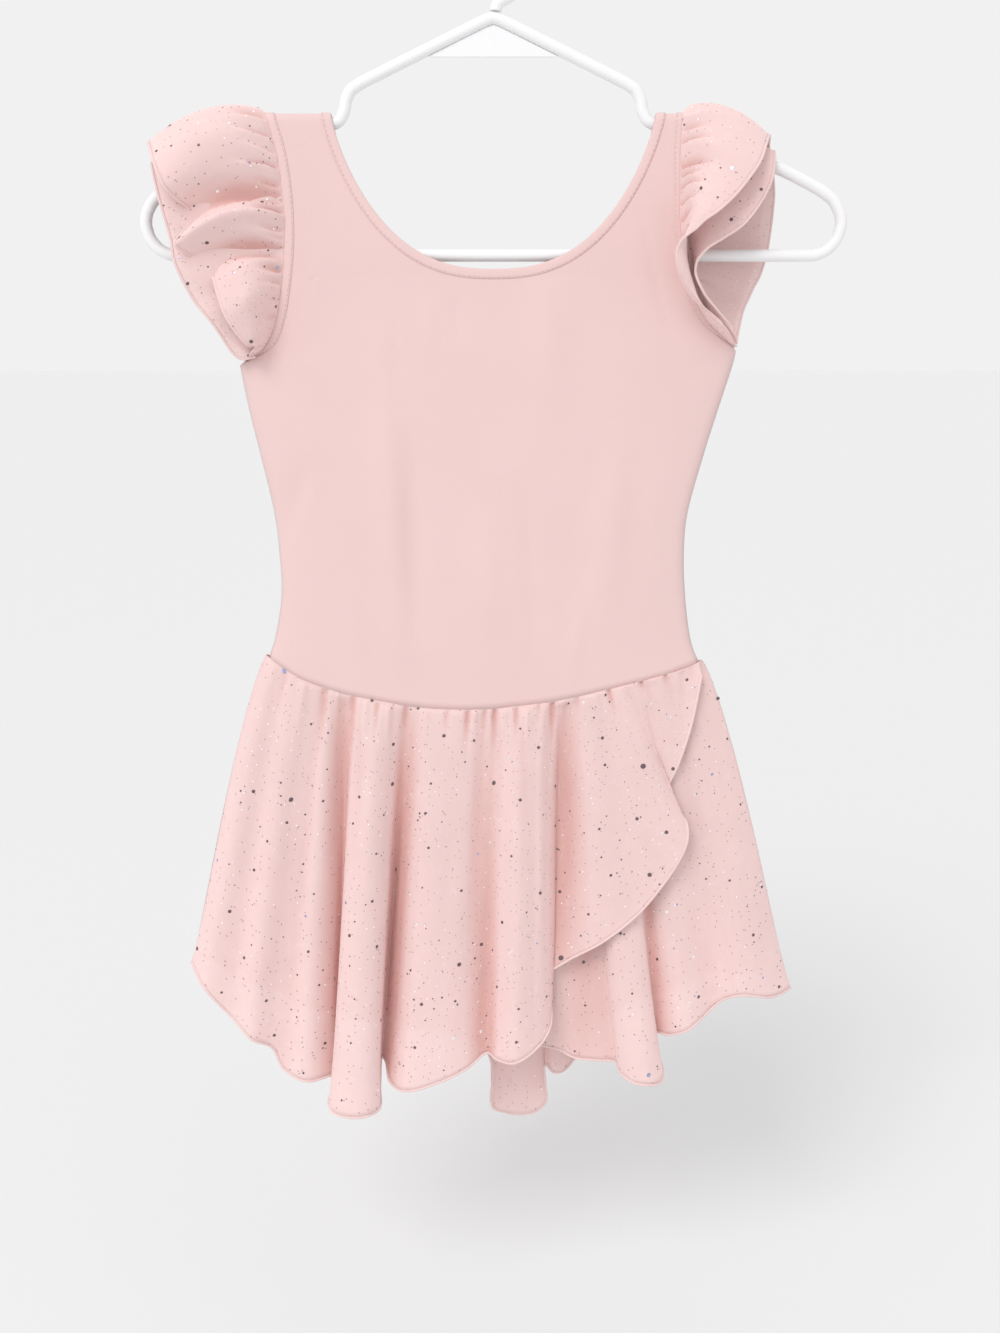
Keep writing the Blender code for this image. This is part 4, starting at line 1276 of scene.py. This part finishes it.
def hanger():
    """Round frame, web under its top, and hook."""
    look = plastic_material("moulded_plastic", colours().plastic)
    right = HANGER_LINE
    left = [(-x, z) for x, z in right[:0:-1]]
    frame_line = smooth_line(right + left, 5, True)
    dress(round_cord("hanger_tube", frame_line, TUBE_RADIUS, TUBE_RADIUS, 24, True),
          look, "white_plastic", "hanger_frame")
    centre = HOOK_RADIUS - HOOK_LOOP_RADIUS
    loop = []
    for k in range(19):
        angle = math.radians(-8.0 + 208.0 * k / 18)
        loop.append((HOOK_LOOP_RADIUS * math.cos(angle),
                     centre + HOOK_LOOP_RADIUS * math.sin(angle)))
    hook_line = smooth_line(HOOK_STEM + loop, 4, False)
    dress(round_cord("hanger_hook_bar", hook_line, HOOK_RADIUS, HOOK_RADIUS, 24),
          look, "white_plastic", "hanger_hook")
    web = bpy.data.objects["hanger_web"]
    web.data.materials.clear()
    web.data.materials.append(look)


def stage():
    """Pale floor, soft light and the camera."""
    clear_selection()
    bpy.ops.mesh.primitive_plane_add(size=FLOOR_SIZE, location=(0.0, 0.0, FLOOR_Z))
    floor = bpy.context.active_object
    floor.name = "floor"
    floor.data.materials.append(floor_material("pale_floor"))
    world = bpy.data.worlds.new("studio")
    bpy.context.scene.world = world
    world.use_nodes = True
    feed(world.node_tree, world.node_tree.nodes["Background"],
         {"Color": (1.0, 1.0, 1.0, 1.0), "Strength": SKY_STRENGTH})
    for name, kind, place, size, power in LIGHTS:
        light = bpy.data.lights.new(name, kind)
        if kind == "SUN":
            light.angle = size
        else:
            light.size = size
        light.energy = power
        lamp = bpy.data.objects.new(name, light)
        lamp.location = place
        aim = Vector(LIGHT_AIM) - Vector(place)
        lamp.rotation_euler = aim.to_track_quat("-Z", "Y").to_euler()
        bpy.context.scene.collection.objects.link(lamp)
    bpy.context.scene.view_settings.view_transform = "Standard"
    lens = bpy.data.cameras.new("camera")
    lens.lens = CAMERA_LENS
    lens.sensor_width = 36.0
    camera = bpy.data.objects.new("camera", lens)
    camera.location = CAMERA_PLACE
    camera.rotation_euler = (math.radians(CAMERA_TILT), 0.0, 0.0)
    bpy.context.scene.collection.objects.link(camera)
    bpy.context.scene.camera = camera


class LEOTARD_OT_bodice(bpy.types.Operator):
    """Sew the front and back of the bodice"""

    bl_idname = "leotard.bodice"
    bl_label = "Bodice"

    def execute(self, context):
        front = bodice_panel("bodice_front", -1, NECK_FRONT_DROP)
        back = bodice_panel("bodice_back", 1, NECK_BACK_DROP)
        return {"FINISHED"}


class LEOTARD_OT_bindings(bpy.types.Operator):
    """Bind the neck and armholes"""

    bl_idname = "leotard.bindings"
    bl_label = "Bindings"

    def execute(self, context):
        neck_binding()
        armhole_binding("armhole_binding_left", -1)
        armhole_binding("armhole_binding_right", 1)
        return {"FINISHED"}


class LEOTARD_OT_sleeves(bpy.types.Operator):
    """Gather the two layers of each flutter sleeve"""

    bl_idname = "leotard.sleeves"
    bl_label = "Flutter Sleeves"

    def execute(self, context):
        sleeve("sleeve_left_upper", -1, LEFT_UPPER_HEM, 2.3, SEAM_GAP, 10.0, 0.4,
               LEFT_PUFFS)
        sleeve("sleeve_left_lower", -1, LEFT_LOWER_HEM, 0.5, 2.2, 3.0, 1.3)
        sleeve("sleeve_right_upper", 1, RIGHT_UPPER_HEM, 2.3, SEAM_GAP, 9.0, 2.2,
               RIGHT_PUFFS)
        sleeve("sleeve_right_lower", 1, RIGHT_LOWER_HEM, 0.6, 3.0, 2.0, 3.1)
        return {"FINISHED"}


class LEOTARD_OT_skirt(bpy.types.Operator):
    """Gather the wrapped skirt's three panels"""

    bl_idname = "leotard.skirt"
    bl_label = "Skirt"

    def execute(self, context):
        skirt_panel("skirt_overlap", OVERLAP_HEM, -1, SKIRT_PROUD, 0.9, 0.6, (-1,), 300,
                    (0.55, 0.27), 21, 50.0)
        skirt_panel("skirt_underlap", UNDERLAP_HEM, -1, -UNDERLAP_INSET, 1.6, 1.5, (1,), 170,
                    (0.32, 0.26), 22)
        skirt_panel("skirt_back", BACK_HEM, 1, SKIRT_PROUD, 0.9, 0.7, (-1, 1), 260,
                    (0.55, 0.31), 23)
        return {"FINISHED"}


class LEOTARD_OT_brief(bpy.types.Operator):
    """Sew the brief under the skirt"""

    bl_idname = "leotard.brief"
    bl_label = "Brief"

    def execute(self, context):
        brief_panel("brief_front", -1)
        brief_panel("brief_back", 1)
        return {"FINISHED"}


class LEOTARD_OT_hanger(bpy.types.Operator):
    """Mould the tubular hanger"""

    bl_idname = "leotard.hanger"
    bl_label = "Hanger"

    def execute(self, context):
        hanger()
        return {"FINISHED"}


class LEOTARD_OT_stage(bpy.types.Operator):
    """Set the floor, the lights and the camera"""

    bl_idname = "leotard.stage"
    bl_label = "Stage"

    def execute(self, context):
        stage()
        return {"FINISHED"}


OPERATORS = (
    LEOTARD_OT_stage,
    LEOTARD_OT_bodice,
    LEOTARD_OT_bindings,
    LEOTARD_OT_sleeves,
    LEOTARD_OT_skirt,
    LEOTARD_OT_brief,
    LEOTARD_OT_hanger,
)


class LEOTARD_PT_panel(bpy.types.Panel):
    """Pieces of the leotard, in the order of making"""

    bl_idname = "LEOTARD_PT_panel"
    bl_label = "Skirted Leotard"
    bl_space_type = "VIEW_3D"
    bl_region_type = "UI"
    bl_category = "Leotard"

    def draw(self, context):
        for group in (context.scene.leotard_sizes, context.scene.leotard_colours):
            box = self.layout.box()
            for name in group.__annotations__:
                box.prop(group, name)
        for operator in OPERATORS:
            self.layout.operator(operator.bl_idname)


CLASSES = (LeotardSizes, LeotardColours, *OPERATORS, LEOTARD_PT_panel)


def register():
    for cls in CLASSES:
        bpy.utils.register_class(cls)
    bpy.types.Scene.leotard_sizes = bpy.props.PointerProperty(type=LeotardSizes)
    bpy.types.Scene.leotard_colours = bpy.props.PointerProperty(type=LeotardColours)


def unregister():
    del bpy.types.Scene.leotard_colours
    del bpy.types.Scene.leotard_sizes
    for cls in reversed(CLASSES):
        bpy.utils.unregister_class(cls)


def main():
    register()
    for operator in OPERATORS:
        group, name = operator.bl_idname.split(".")
        getattr(getattr(bpy.ops, group), name)()


if __name__ == "__main__":
    main()
